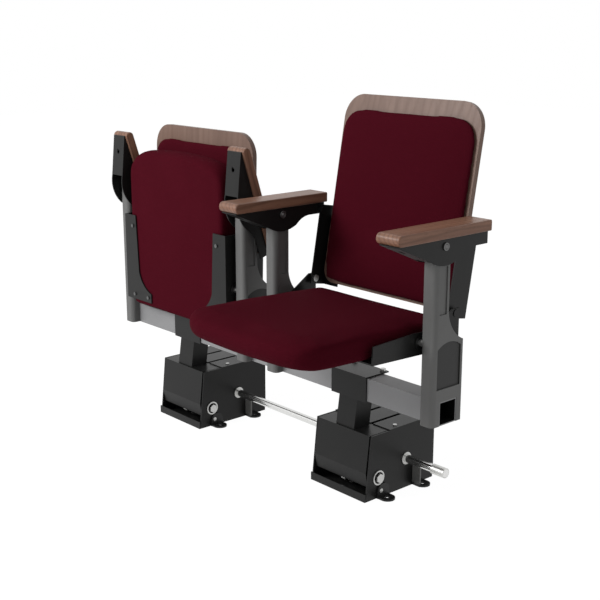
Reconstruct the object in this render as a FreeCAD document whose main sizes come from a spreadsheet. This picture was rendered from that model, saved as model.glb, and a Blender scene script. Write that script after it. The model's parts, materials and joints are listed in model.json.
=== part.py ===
"""Two-place folding stadium seat on a square beam, with two floor boxes that let the row fold forward.

Frame: +Z up, +X to the right as a spectator facing the chairs sees it, chairs face -Y.
The origin is the middle of the floor bolt pattern. The left chair is folded, the right chair is open.
"""
import FreeCAD, Part
import math
import os
import re
import Sketcher

SIZES = [
    # Layout along the row
    ("chair_pitch", 585, "distance between the two chair centres"),
    ("post_spacing", 474, "distance between the two posts of a chair"),
    ("post_width", 37, "width of a post"),
    # Floor box
    ("box_width", 170, "outside width of a floor box"),
    ("box_height", 145, "height of the side plates"),
    ("front_reach", 109, "box front edge ahead of the origin"),
    ("rear_reach", 105, "box rear edge behind the origin"),
    ("front_slant", 18.5, "how far the front edge leans back"),
    ("rear_slope_run", 39, "length of the rear slope along the top"),
    ("rear_slope_drop", 24, "height of the rear slope"),
    ("side_sheet", 3, "side plate thickness"),
    ("tray_sheet", 3, "base tray thickness"),
    ("lip_height", 18, "front lip of the tray"),
    ("cover_sheet", 2, "top cover thickness"),
    ("cover_front", 35, "cover front edge ahead of the origin"),
    ("cover_skirt", 20, "height of the cover's rear edge above the floor"),
    ("slot_gap", 1.6, "slot clearance each side of a stop arm"),
    ("slot_reach", 53, "rear end of the slots behind the origin"),
    ("tab_length", 20, "cover tab, front to back"),
    ("tab_reach", 22, "cover tab, inwards"),
    ("tab_lead", 8, "cover screw ahead of the origin"),
    ("screw_inset", 12, "cover screw from the box side"),
    ("screw_radius", 2.5, "small screw shank"),
    ("screw_head_radius", 4.5, "small screw head"),
    ("screw_head_height", 2.5, "small screw head height"),
    ("screw_depth", 5, "small screw shank length"),
    ("fit_gap", 0.1, "gap between parts that are fixed together"),
    ("running_gap", 0.05, "radial gap of a pin that turns"),
    ("slide_gap", 0.4, "gap between faces that slide past each other"),
    # Floor feet
    ("lug_offset", 15.5, "floor bolt from the box side"),
    ("lug_radius", 17, "rounded end of a floor lug"),
    ("lug_sheet", 4, "floor lug thickness"),
    ("lug_spacing", 112, "front to rear floor bolts"),
    ("lug_hole_radius", 5.5, "floor bolt hole"),
    ("leaf_radius", 18, "arch of the leaf on a front foot"),
    ("leaf_top", 32, "top of the leaf above the floor"),
    ("leaf_screw_lead", 9, "leaf screw ahead of the floor bolt"),
    ("leaf_screw_height", 18, "leaf screw above the floor"),
    ("leaf_sheet", 4, "arched leaf thickness"),
    ("web_height", 45, "upright web of a rear foot"),
    ("web_reach", 22, "upright web, outwards"),
    ("web_sheet", 4, "upright web thickness"),
    # Row pivot and drive
    ("pivot_lead", 69, "row pivot ahead of the origin"),
    ("pivot_height", 47, "row pivot above the floor"),
    ("pivot_radius", 8, "pivot bolt"),
    ("ring_radius", 16.5, "ring round the end of the pivot bolt"),
    ("ring_bore", 13.2, "bore of that ring"),
    ("ring_height", 2.5, "ring thickness"),
    ("hex_radius", 10.5, "hexagon end, centre to corner"),
    ("hex_height", 7, "hexagon end height"),
    ("mesh_angle", 14.5, "rise of the line from row pivot to drive shaft"),
    ("gear_module", 4, "pitch diameter per tooth"),
    ("sector_teeth", 18, "teeth on a full circle of the sector gear"),
    ("sector_count", 7, "teeth that the sector gear has"),
    ("sector_flat", 22, "flat of the sector gear towards the guard, from the pivot"),
    ("gear_teeth", 26, "teeth of the drive gear"),
    ("gear_width", 12, "face width of the gears"),
    ("tooth_rise", 3.6, "tooth tip above the pitch circle"),
    ("tooth_depth", 4.6, "tooth root below the pitch circle"),
    ("tooth_thickness", 5.2, "tooth at the pitch circle"),
    ("flank_angle", 20, "tooth flank slope"),
    ("shaft_radius", 9, "drive shaft"),
    ("shaft_right", 493, "right end of the drive shaft"),
    ("shaft_left", 400, "left end of the drive shaft"),
    ("bearing_radius", 12, "bearing body in the side plate"),
    ("bearing_rim_radius", 14, "bearing flange"),
    ("bearing_rim_height", 3, "bearing flange thickness"),
    ("sleeve_radius", 11, "coupling sleeve on the shaft end"),
    ("sleeve_length", 36, "coupling sleeve length"),
    # Pedestal, stop arms and guard
    ("pedestal_width", 55, "pedestal tube across"),
    ("pedestal_depth", 46.6, "pedestal tube front to back"),
    ("pedestal_lead", 87, "pedestal front at box height, ahead of the origin"),
    ("pedestal_lean", 8, "pedestal lean to the rear"),
    ("pedestal_wall", 3, "pedestal tube wall"),
    ("pedestal_foot", 80, "lower end of the pedestal tube"),
    ("ear_radius", 20, "rounded pedestal ears at the pivot"),
    ("hub_radius", 16, "pivot hub"),
    ("hub_gap", 2.5, "hub end to side plate"),
    ("stop_sheet", 5, "stop arm thickness"),
    ("stop_reach", 126, "stop arm tip behind the pivot"),
    ("stop_shoulder", 104, "rear end of the stop arm's top edge"),
    ("stop_low", 40, "stop arm lower edge above the pivot"),
    ("stop_tip", 60, "stop arm tip height above the pivot"),
    ("stop_high", 92, "stop arm top edge above the pivot"),
    ("stop_elbow", 70, "where the stop arm's lower edge turns level"),
    ("stop_heel", 22, "stop arm below the pivot"),
    ("stop_peg_radius", 6, "stop peg"),
    ("stop_peg_reach", 112, "stop peg behind the pivot"),
    ("guard_sheet", 2.5, "guard thickness"),
    ("guard_gap", 2.5, "guard edge to side plate"),
    ("guard_foot", 31, "guard lower edge above the floor"),
    ("guard_bend", 62, "bend of the guard above the floor"),
    ("guard_tuck", 5, "how far the guard's lower edge turns in"),
    ("guard_lead", 92, "guard top edge ahead of the origin"),
    # Beam and saddles
    ("beam_size", 50, "square beam"),
    ("beam_wall", 2.5, "beam wall"),
    ("beam_lead", 50, "beam centre ahead of the origin"),
    ("beam_height", 237.5, "beam centre above the floor"),
    ("beam_inset", 1, "beam end inside the outer post face"),
    ("saddle_width", 106, "saddle clamp width"),
    ("saddle_sheet", 3, "saddle clamp thickness"),
    ("saddle_tail", 16, "saddle clamp behind the beam"),
    ("saddle_bolt_radius", 4, "saddle bolt shank"),
    ("saddle_head_radius", 6.5, "saddle bolt head"),
    ("saddle_head_height", 5, "saddle bolt head height"),
    ("saddle_bolt_inset", 10, "saddle bolt from the clamp's side edge"),
    # Posts
    ("post_lead", 97, "post front ahead of the origin"),
    ("post_rear", 11, "post rear of the lower part, ahead of the origin"),
    ("column_rear", 57, "post rear of the column, ahead of the origin"),
    ("flare_low", 196, "lower end of the flare below the arm pivot"),
    ("flare_high", 134, "upper end of the flare below the arm pivot"),
    ("flare_radius", 75, "flare radius"),
    ("column_top", 29, "where the column narrows, below the arm pivot"),
    ("post_boss", 12, "post top round the arm pivot"),
    ("post_round", 11, "rounded front edges of the post"),
    ("recess_depth", 2.5, "side recesses of the post"),
    ("recess_margin", 6, "rim round the side recesses"),
    ("recess_low", 289, "lower end of the lower recess"),
    ("recess_spring", 207, "where the lower recess starts to arch, below the arm pivot"),
    ("recess_arch", 55, "arch radius of the lower recess"),
    ("channel_low", 137, "lower end of the column channel below the arm pivot"),
    ("channel_margin", 11, "column channel from the column edges"),
    # Arms
    ("arm_lead", 79, "arm pivot ahead of the origin"),
    ("arm_height", 579, "arm pivot above the floor"),
    ("arm_pin_radius", 6, "arm pivot bolt"),
    ("arm_head_radius", 8, "arm pivot bolt head"),
    ("arm_head_height", 3, "arm pivot bolt head height"),
    ("cap_width", 60, "arm cap width"),
    ("cap_thickness", 22, "arm cap thickness"),
    ("cap_front", 136, "arm cap ahead of the arm pivot"),
    ("cap_tail", 129, "arm cap behind the arm pivot"),
    ("cap_rise", 15, "arm cap underside above the arm pivot"),
    ("cap_nose", 10.4, "bull nose radius of the cap"),
    ("cap_soft", 3, "softened edges of the cap"),
    ("bracket_width", 48, "arm bracket width"),
    ("bracket_sheet", 2.5, "arm bracket thickness"),
    ("bracket_front", 131, "arm bracket ahead of the arm pivot"),
    ("bracket_tail", 125, "arm bracket behind the arm pivot"),
    ("bracket_tip", 2, "arm bracket height at its tip"),
    ("bracket_heel", 10, "rear lower edge below the arm pivot"),
    ("belly_front", 38, "belly start ahead of the arm pivot"),
    ("belly_rear", 42, "belly end behind the arm pivot"),
    ("belly_drop", 27, "belly ends below the arm pivot"),
    ("belly_radius", 80, "belly radius"),
    ("sweep_end", 86, "end of the rear sweep behind the arm pivot"),
    ("sweep_radius", 55, "rear sweep radius"),
    ("oval_lead", 98, "oval hole ahead of the arm pivot"),
    ("oval_length", 20, "oval hole length"),
    ("oval_width", 10, "oval hole width"),
    ("chair_fold", 72.5, "arm turn from open to folded"),
    # Back
    ("back_reach", 113, "back pivot behind the arm pivot"),
    ("back_drop", 1, "back pivot below the arm pivot"),
    ("back_pin_radius", 5, "back pivot stud"),
    ("stud_collar_radius", 9, "collar of the back pivot stud"),
    ("stud_head_radius", 8, "head of the back pivot stud"),
    ("stud_head_height", 3, "head height of the back pivot stud"),
    ("recline", 10, "open back from upright"),
    ("back_fold", 8.5, "back turn towards upright when folded"),
    ("leg_sheet", 3, "back leg thickness"),
    ("leg_gap", 6.5, "back leg to lower link"),
    ("leg_front", 8, "leg front edge ahead of the back pivot"),
    ("leg_tail", 49, "leg rear edge behind the back pivot"),
    ("leg_top", 12, "leg above the back pivot"),
    ("leg_bottom", 170, "leg below the back pivot"),
    ("leg_flange", 45, "leg flange behind the panel"),
    ("leg_bolt_back", 4.3, "leg bolt behind the back pivot"),
    ("leg_bolt_drop", 156.6, "leg bolt below the back pivot"),
    ("leg_bolt_radius", 5, "leg bolt shank"),
    ("panel_width", 392, "back panel width"),
    ("panel_top", 267, "panel top above the back pivot"),
    ("panel_bottom", 161, "panel bottom below the back pivot"),
    ("panel_rear", 34, "panel rear face behind the back pivot"),
    ("panel_thickness", 12, "panel thickness"),
    ("panel_corner", 55, "upper corner radius of the panel"),
    ("panel_foot", 30, "lower corner radius of the panel"),
    ("panel_soft", 3, "softened panel edges"),
    ("panel_screw_pitch", 60, "distance between panel screws"),
    ("panel_screw_inset", 22, "panel screws from the panel side"),
    ("pad_width", 378, "back cushion width"),
    ("pad_margin", 29, "panel showing above the back cushion"),
    ("pad_corner", 50, "corner radius of the back cushion"),
    ("pad_rim", 19, "back cushion thickness at its rim"),
    ("pad_crown", 26, "back cushion thickness at its middle"),
    ("pad_gap", 0.3, "soft part to its neighbour"),
    # Lower links
    ("link_lead", 51, "link pivot ahead of the origin"),
    ("link_drop", 193, "link pivot below the arm pivot"),
    ("link_pin_radius", 6, "link pin cast on the post"),
    ("link_boss_radius", 10, "boss of the link pin"),
    ("link_standoff", 2, "link outer face to post"),
    ("link_sheet", 4, "link thickness"),
    ("link_round", 10, "link round its pivots"),
    ("link_heel", 24, "link below its pivot at the rear"),
    ("link_head_radius", 8, "bolt head on the link"),
    ("link_head_height", 1.5, "bolt head height on the link"),
    ("link_fold", 116.6, "link turn from open to folded"),
    # Seat
    ("seat_lead", 88, "seat hinge ahead of the origin"),
    ("seat_height", 380, "seat hinge above the floor"),
    ("seat_pin_radius", 7, "seat hinge pin"),
    ("seat_pin_depth", 12, "seat hinge pin inside the post"),
    ("seat_width", 384, "seat cushion width"),
    ("seat_front", 306, "seat nose ahead of the hinge"),
    ("seat_bow", 20, "how far the nose stands ahead of the front corners"),
    ("seat_tail", 107, "lower rear edge of the seat behind the hinge"),
    ("seat_lean", 8, "upper rear edge ahead of the lower one"),
    ("seat_under", 23, "seat underside below the hinge"),
    ("seat_rim", 34, "seat top at its rim above the hinge"),
    ("seat_crown", 1.5, "crown of the seat top"),
    ("seat_nose", 17, "roundness of the seat nose"),
    ("seat_heel", 5, "roundness of the seat rear"),
    ("seat_side", 13, "roundness of the seat sides"),
    ("seat_corner", 48, "front corner radius of the seat"),
    ("seat_rear_corner", 20, "rear corner radius of the seat"),
    ("seat_tilt", 2, "open seat from level, nose up"),
    ("seat_fold", 90, "seat turn from level to folded"),
    ("seat_gap", 0.8, "seat cushion to its brackets"),
    ("hinge_sheet", 3, "seat bracket thickness"),
    ("hinge_standoff", 12, "seat bracket's inner face to post"),
    ("hinge_front", 131, "seat bracket ahead of the hinge"),
    ("hinge_tail", 90, "seat bracket behind the hinge"),
    ("hinge_low_front", 11, "bracket top edge at its front end, above the hinge"),
    ("hinge_top", 20, "bracket top edge at the hinge"),
    ("hinge_boss", 14, "seat bracket boss"),
    ("hinge_boss_length", 5.5, "seat bracket boss length"),
    ("foot_narrow", 47, "bracket foot width at its front end"),
    ("foot_wide", 107, "bracket foot width at its rear end"),
    ("foot_sweep", 75, "curve radius of the bracket foot"),
    ("foot_turn", 66, "where the bracket foot reaches full width"),
    ("foot_waist", 55, "bracket foot width where its flare starts"),
    ("foot_straight", 16, "where that flare starts behind the hinge"),
    ("foot_inset", 13, "bracket foot screws from its edges"),
    ("foot_lead", 28, "front screw from the front end of the foot"),
]

doc = FreeCAD.newDocument("StadiumSeat")
sheet = doc.addObject("Spreadsheet::Sheet", "Sizes")
for row, (alias, number, note) in enumerate(SIZES, start=1):
    sheet.set(f"A{row}", note)
    sheet.set(f"B{row}", str(number))
    sheet.setAlias(f"B{row}", alias)
doc.recompute()

NAMES = {alias for alias, number, note in SIZES}
NODES = []
RIGHT = 1
LEFT = -1
SIDES = ((LEFT, "left"), (RIGHT, "right"))

# Places worked out from the sizes
BOX = "(box_width / 2 - side_sheet)"
PIVOT_Y = "(-pivot_lead)"
CENTRES = "((sector_teeth + gear_teeth) * gear_module / 2)"
SHAFT_Y = f"({PIVOT_Y} + {CENTRES} * cos(mesh_angle))"
SHAFT_Z = f"(pivot_height + {CENTRES} * sin(mesh_angle))"
PEDESTAL_HALF = "(pedestal_width / 2)"
SLOT_CENTRE = f"({PEDESTAL_HALF} + stop_sheet / 2)"
BEAM_TOP = "(beam_height + beam_size / 2)"
BEAM_BOTTOM = "(beam_height - beam_size / 2)"
BEAM_FRONT = "(-beam_lead - beam_size / 2)"
BEAM_REAR = "(-beam_lead + beam_size / 2)"
SADDLE_FRONT = f"({BEAM_FRONT} - saddle_sheet)"
SADDLE_REAR = f"({BEAM_REAR} + saddle_tail)"
POST_FACE = "((post_spacing - post_width) / 2)"
LINK_FACE = f"({POST_FACE} - link_standoff)"
LEG_FACE = f"({LINK_FACE} - link_sheet - leg_gap)"
LEG_INSIDE = f"({LEG_FACE} - leg_sheet)"
BRACKET_FACE = "((post_spacing - bracket_width) / 2)"
HINGE_INSIDE = f"({POST_FACE} - hinge_standoff)"
PANEL_FRONT = "(panel_rear - panel_thickness)"
LEG_BOLT_Y = "(-arm_lead + back_reach + leg_bolt_back * cos(recline) - leg_bolt_drop * sin(recline))"
LEG_BOLT_Z = "(arm_height - back_drop - leg_bolt_back * sin(recline) - leg_bolt_drop * cos(recline))"
LINK_REACH = f"({LEG_BOLT_Y} + link_lead)"
LINK_Z = "(arm_height - link_drop)"
LINK_RISE = f"({LEG_BOLT_Z} - {LINK_Z})"


def bound(formula):
    """Point each size that a formula names at its cell."""
    def cell(word):
        return f"Sizes.{word.group()}" if word.group() in NAMES else word.group()

    return re.sub(r"[a-z_]+", cell, formula)


def value(formula):
    """The number that a formula of sizes gives."""
    answer = sheet.evalExpression(bound(formula))
    return float(getattr(answer, "Value", answer))


def place(thing, x="0", y="0", z="0", turn=None):
    """Set a thing at a place, turned about the X axis by the formula given."""
    for axis, formula in zip("xyz", (x, y, z)):
        thing.setExpression(f"Placement.Base.{axis}", bound(formula))
    if turn is not None:
        thing.setExpression("Placement.Rotation.Roll", bound(turn))
    return thing


def keep(thing, name):
    """Count a finished thing as a sub-part under its own name."""
    thing.Label = name
    NODES.append(thing)
    return thing


def group(name, things):
    """Several separate solids that share one sub-part."""
    bundle = doc.addObject("Part::Compound", name)
    bundle.Links = things
    return keep(bundle, name)


def origin_feature(body, role):
    return next(feature for feature in body.Origin.OriginFeatures if feature.Role == role)


def draw_outline(sketch, corners):
    """A closed outline. A corner is (u, v), or (u, v, radius, side) where an arc leads on to the next one.

    The side is 1 where the arc bulges to the left of the way it runs, and -1 to the right.
    """
    spots = [FreeCAD.Vector(value(corner[0]), value(corner[1]), 0) for corner in corners]
    pieces = []
    for index, corner in enumerate(corners):
        start = spots[index]
        end = spots[(index + 1) % len(spots)]
        if len(corner) == 2:
            line = sketch.addGeometry(Part.LineSegment(start, end), False)
            pieces.append((line, 1, 2))
            continue
        radius, side = corner[2:]
        chord = end - start
        left = FreeCAD.Vector(-chord.y, chord.x, 0).normalize()
        reach = value(radius)
        bulge = reach - math.sqrt(max(reach ** 2 - (chord.Length / 2) ** 2, 0))
        apex = (start + end) * 0.5 + left * (bulge * side)
        arc = sketch.addGeometry(Part.Arc(start, apex, end), False)
        pieces.append((arc, 2, 1) if side > 0 else (arc, 1, 2))
        bind(sketch, Sketcher.Constraint("Radius", arc, reach), radius)
    for index, (piece, start_point, end_point) in enumerate(pieces):
        following, next_start, next_end = pieces[(index + 1) % len(pieces)]
        sketch.addConstraint(Sketcher.Constraint("Coincident", piece, end_point, following, next_start))
        spot = spots[index]
        across = Sketcher.Constraint("DistanceX", -1, 1, piece, start_point, spot.x)
        up = Sketcher.Constraint("DistanceY", -1, 1, piece, start_point, spot.y)
        bind(sketch, across, corners[index][0])
        bind(sketch, up, corners[index][1])


def draw_circle(sketch, u, v, radius):
    """A circle of the sketch, its centre and radius tied to formulas."""
    centre = FreeCAD.Vector(value(u), value(v), 0)
    circle = sketch.addGeometry(Part.Circle(centre, FreeCAD.Vector(0, 0, 1), value(radius)), False)
    bind(sketch, Sketcher.Constraint("Radius", circle, value(radius)), radius)
    bind(sketch, Sketcher.Constraint("DistanceX", -1, 1, circle, 3, centre.x), u)
    bind(sketch, Sketcher.Constraint("DistanceY", -1, 1, circle, 3, centre.y), v)


def bind(sketch, constraint, formula):
    """Add a constraint whose value follows a formula of sizes."""
    number = sketch.addConstraint(constraint)
    sketch.setExpression(f"Constraints[{number}]", bound(formula))


def shape(body, kind, plane, length, outlines=(), circles=(), offset=None, both=False, back=False):
    """A Pad or a Pocket of outlines and circles drawn on one of the body's own planes.

    It runs along the plane's normal, against it where back is set, or to both sides.
    A length of None cuts through.
    """
    sketch = body.newObject("Sketcher::SketchObject", f"{body.Name}Sketch")
    sketch.AttachmentSupport = [(origin_feature(body, plane), "")]
    sketch.MapMode = "FlatFace"
    if offset is not None:
        sketch.setExpression("AttachmentOffset.Base.z", bound(offset))
    for outline in outlines:
        draw_outline(sketch, outline)
    for circle in circles:
        draw_circle(sketch, *circle)
    before = body.Shape.Volume if body.Tip else 0
    feature = body.newObject(f"PartDesign::{kind}", f"{body.Name}{kind}")
    feature.Profile = sketch
    feature.SideType = "Symmetric" if both else "One side"
    feature.Reversed = back if kind == "Pad" else not back
    if length is None:
        feature.Type = "ThroughAll"
    else:
        feature.setExpression("Length", bound(length))
    doc.recompute()
    if abs(body.Shape.Volume - before) < 0.01:
        raise RuntimeError(f"{kind} of {body.Name} changes nothing: {feature.getStatusString()}")
    return feature


def round_edges(body, radius, along, spots):
    """Round straight edges that run along an axis. The spots they pass are given on the other two axes."""
    axis = "xyz".index(along)
    others = [index for index in range(3) if index != axis]
    wanted = [[value(formula) for formula in spot] for spot in spots]
    names = []
    base = body.Tip
    for number, edge in enumerate(base.Shape.Edges, start=1):
        first = edge.Vertexes[0].Point
        last = edge.Vertexes[-1].Point
        for spot in wanted:
            goals = list(zip(others, spot))
            near = [abs(point[index] - goal) < 0.01 for point in (first, last) for index, goal in goals]
            if all(near) and abs(first[axis] - last[axis]) > 0.1:
                names.append(f"Edge{number}")
    if len(names) < len(spots):
        raise RuntimeError(f"{body.Name} lacks an edge to round")
    fillet = body.newObject("PartDesign::Fillet", f"{body.Name}Fillet")
    fillet.Base = (base, names)
    fillet.setExpression("Radius", bound(radius))
    doc.recompute()


def new_body(name):
    return doc.addObject("PartDesign::Body", name)


def box(left, low, right, high):
    """A rectangle as an outline."""
    return [(left, low), (right, low), (right, high), (left, high)]


def rod(name, radius, start, length, y, z):
    """A round bar along X that starts at a place."""
    bar = doc.addObject("Part::Cylinder", name)
    bar.Placement = FreeCAD.Placement(FreeCAD.Vector(), FreeCAD.Rotation(FreeCAD.Vector(0, 1, 0), 90))
    bar.setExpression("Radius", bound(radius))
    bar.setExpression("Height", bound(length))
    return place(bar, start, y, z)


def hexagon(name, start, y, z):
    """A hexagon end along X."""
    nut = doc.addObject("Part::Prism", name)
    nut.Polygon = 6
    nut.Placement = FreeCAD.Placement(FreeCAD.Vector(), FreeCAD.Rotation(FreeCAD.Vector(0, 1, 0), 90))
    nut.setExpression("Circumradius", bound("hex_radius"))
    nut.setExpression("Height", bound("hex_height"))
    return place(nut, start, y, z)


def fuse(name, things):
    whole = doc.addObject("Part::MultiFuse", name)
    whole.Shapes = things
    return whole


def cut(name, base, tool):
    rest = doc.addObject("Part::Cut", name)
    rest.Base = base
    rest.Tool = tool
    return rest


def upright(name, radius, height, x, y, z):
    """A round bar along Z that starts at a place."""
    bar = doc.addObject("Part::Cylinder", name)
    bar.setExpression("Radius", bound(radius))
    bar.setExpression("Height", bound(height))
    return place(bar, x, y, z)


def centre_of(chair):
    """Middle of a chair, and of the box under it, along the row."""
    return f"({chair} * chair_pitch / 2)"


def box_side(chair, hand, name):
    """Side plate with its folded tab for the cover screw. The hand is the way it faces along X."""
    body = new_body(name)
    outline = [
        ("-front_reach + side_sheet", "0"),
        ("rear_reach", "0"),
        ("rear_reach", "box_height - rear_slope_drop"),
        ("rear_reach - rear_slope_run", "box_height"),
        ("-front_reach + front_slant", "box_height"),
    ]
    holes = [
        (PIVOT_Y, "pivot_height", "pivot_radius + fit_gap"),
        (SHAFT_Y, SHAFT_Z, "bearing_radius + fit_gap"),
    ]
    shape(body, "Pad", "YZ_Plane", "side_sheet", [outline], holes, back=hand < 0)
    tab = box("-tab_lead - tab_length / 2", "box_height - side_sheet",
              "-tab_lead + tab_length / 2", "box_height")
    shape(body, "Pad", "YZ_Plane", "tab_reach", [tab], back=hand > 0)
    hole = (f"{hand} * (side_sheet - screw_inset)", "-tab_lead", "screw_radius + fit_gap")
    shape(body, "Pocket", "XY_Plane", None, circles=[hole])
    keep(place(body, f"{centre_of(chair)} + {hand} * {BOX}"), name)


def base_tray(chair, name):
    """Floor of a box between its side plates, with the low lip across the front."""
    body = new_body(name)
    shape(body, "Pad", "YZ_Plane", "box_width", both=True,
          outlines=[box("-front_reach", "0", "-front_reach + side_sheet", "lip_height")])
    shape(body, "Pad", "YZ_Plane", f"2 * {BOX}", both=True,
          outlines=[box("-front_reach", "0", "rear_reach", "tray_sheet")])
    keep(place(body, centre_of(chair)), name)


def top_cover(chair, name):
    """Cover sheet over the side plates, bent down the rear slope, with a slot over each stop arm."""
    body = new_body(name)
    slope = "atan(rear_slope_drop / rear_slope_run)"
    top = "box_height + cover_sheet"
    back = "rear_reach + cover_sheet"
    outline = [
        ("-cover_front", "box_height"),
        ("rear_reach - rear_slope_run", "box_height"),
        ("rear_reach", "box_height - rear_slope_drop"),
        ("rear_reach", "cover_skirt"),
        (back, "cover_skirt"),
        (back, f"box_height - rear_slope_drop + cover_sheet * tan(45 deg - {slope} / 2)"),
        (f"rear_reach - rear_slope_run + cover_sheet * tan({slope} / 2)", top),
        ("-cover_front", top),
    ]
    shape(body, "Pad", "YZ_Plane", "box_width", [outline], both=True)
    slots = []
    for hand in (LEFT, RIGHT):
        middle = f"{hand} * {SLOT_CENTRE}"
        half = "(stop_sheet / 2 + slot_gap)"
        slots.append(box(f"{middle} - {half}", "-cover_front - slot_gap",
                         f"{middle} + {half}", "slot_reach"))
    holes = [(f"{hand} * (box_width / 2 - screw_inset)", "-tab_lead", "screw_radius + fit_gap")
             for hand in (LEFT, RIGHT)]
    shape(body, "Pocket", "XY_Plane", None, slots, holes)
    keep(place(body, centre_of(chair)), name)


def foot(chair, hand, end, name):
    """Floor lug beside a side plate: an arched leaf carries the front one, an upright web the rear one."""
    body = new_body(name)
    across = [f"{hand} * ({reach})" for reach in ("0", "lug_offset", "lug_offset + lug_radius")]
    middle = f"{end} * lug_spacing / 2"
    outline = [
        (across[0], f"{middle} - lug_radius"),
        (across[1], f"{middle} - lug_radius", "lug_radius", -hand),
        (across[2], middle, "lug_radius", -hand),
        (across[1], f"{middle} + lug_radius"),
        (across[0], f"{middle} + lug_radius"),
    ]
    hole = (across[1], middle, "lug_hole_radius")
    shape(body, "Pad", "XY_Plane", "lug_sheet", [outline], [hole])
    if end < 0:
        spring = "(leaf_top - leaf_radius)"
        leaf = [
            (f"{middle} - leaf_radius", "0"),
            (f"{middle} + leaf_radius", "0"),
            (f"{middle} + leaf_radius", spring, "leaf_radius", -1),
            (middle, "leaf_top", "leaf_radius", -1),
            (f"{middle} - leaf_radius", spring),
        ]
        hole = (f"{middle} - leaf_screw_lead", "leaf_screw_height", "screw_radius + fit_gap")
        shape(body, "Pad", "YZ_Plane", "leaf_sheet", [leaf], [hole], back=hand < 0)
    else:
        web = box(f"{middle} - lug_radius", "0", f"{middle} - lug_radius + web_sheet", "web_height")
        shape(body, "Pad", "YZ_Plane", "web_reach", [web], back=hand < 0)
    return place(body, f"{centre_of(chair)} + {hand} * box_width / 2")


def leaf_screw(chair, hand, name):
    """Small screw in the leaf of a front foot."""
    inwards = 1 if hand < 0 else 0
    face = f"{centre_of(chair)} + {hand} * box_width / 2"
    y = "-lug_spacing / 2 - leaf_screw_lead"
    shank = rod(f"{name}Shank", "screw_radius", f"{face} - {inwards} * leaf_sheet", "leaf_sheet",
                y, "leaf_screw_height")
    start = f"{face} + {hand} * leaf_sheet - {inwards} * screw_head_height"
    head = rod(f"{name}Head", "screw_head_radius", start, "screw_head_height", y, "leaf_screw_height")
    return fuse(name, [head, shank])


def pivot_bolt(chair, name):
    """Bolt through both side plates with a hexagon at each end, and a loose ring round each end."""
    half = "(box_width / 2)"
    middle = centre_of(chair)
    bits = [rod(f"{name}Shank", "pivot_radius", f"{middle} - {half}", f"2 * {half}",
                PIVOT_Y, "pivot_height")]
    rings = []
    for hand in (LEFT, RIGHT):
        inwards = 1 if hand < 0 else 0
        start = f"{middle} + {hand} * {half} - {inwards} * ring_height"
        rim = rod(f"{name}Rim", "ring_radius", start, "ring_height", PIVOT_Y, "pivot_height")
        bore = rod(f"{name}Bore", "ring_bore", start, "ring_height", PIVOT_Y, "pivot_height")
        rings.append(cut(f"{name}Ring", rim, bore))
        head = f"{middle} + {hand} * {half} - {inwards} * hex_height"
        bits.append(hexagon(f"{name}Hex", head, PIVOT_Y, "pivot_height"))
    return [fuse(name, bits), *rings]


def shaft_bearing(chair, hand, name):
    """Flanged bush of the drive shaft in a side plate."""
    face = f"{centre_of(chair)} + {hand} * box_width / 2"
    start = f"{face} - {1 if hand > 0 else 0} * side_sheet"
    rim_start = f"{face} - {1 if hand < 0 else 0} * bearing_rim_height"
    bush = rod(f"{name}Bush", "bearing_radius", start, "side_sheet", SHAFT_Y, SHAFT_Z)
    rim = rod(f"{name}Rim", "bearing_rim_radius", rim_start, "bearing_rim_height", SHAFT_Y, SHAFT_Z)
    span = "(side_sheet + bearing_rim_height)"
    bore_start = f"{face} - {'side_sheet' if hand > 0 else 'bearing_rim_height'}"
    bore = rod(f"{name}Bore", "shaft_radius + running_gap", bore_start, span, SHAFT_Y, SHAFT_Z)
    return cut(name, fuse(f"{name}Whole", [bush, rim]), bore)


def screw_down(name, x, y, face):
    """Small screw with its head on a level face."""
    head = upright(f"{name}Head", "screw_head_radius", "screw_head_height", x, y, face)
    shank = upright(f"{name}Shank", "screw_radius", "screw_depth", x, y, f"{face} - screw_depth")
    return fuse(name, [head, shank])


def stop_peg(chair, hand, name):
    """Peg on the inside of a side plate, under the tip of a stop arm."""
    length = f"({BOX} - {PEDESTAL_HALF} + slot_gap)"
    start = f"{centre_of(chair)} + {hand} * {BOX} - {1 if hand > 0 else 0} * {length}"
    return rod(name, "stop_peg_radius", start, length, f"{PIVOT_Y} + stop_peg_reach",
               "pivot_height + stop_low - slide_gap - stop_peg_radius")


def floor_boxes():
    """Everything that stays fixed to the floor."""
    feet, bolts, bearings, screws, pegs = [], [], [], [], []
    for chair, side in SIDES:
        for hand in (LEFT, RIGHT):
            which = "outer" if hand == chair else "inner"
            box_side(chair, hand, f"{side}_box_{which}_side")
            for end, end_name in ((-1, "Front"), (1, "Rear")):
                feet.append(foot(chair, hand, end, f"{side}{which}{end_name}Foot"))
            bearings.append(shaft_bearing(chair, hand, f"{side}{which}Bearing"))
            x = f"{centre_of(chair)} + {hand} * (box_width / 2 - screw_inset)"
            pegs.append(stop_peg(chair, hand, f"{side}{which}StopPeg"))
            screws.append(screw_down(f"{side}{which}CoverScrew", x, "-tab_lead", "box_height + cover_sheet"))
            screws.append(leaf_screw(chair, hand, f"{side}{which}LeafScrew"))
        base_tray(chair, f"{side}_base_tray")
        top_cover(chair, f"{side}_top_cover")
        bolts.extend(pivot_bolt(chair, f"{side}PivotBolt"))
    group("floor_feet", feet)
    group("pivot_bolts", bolts)
    group("shaft_bearings", bearings)
    group("box_screws", screws)
    group("stop_pegs", pegs)


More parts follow.
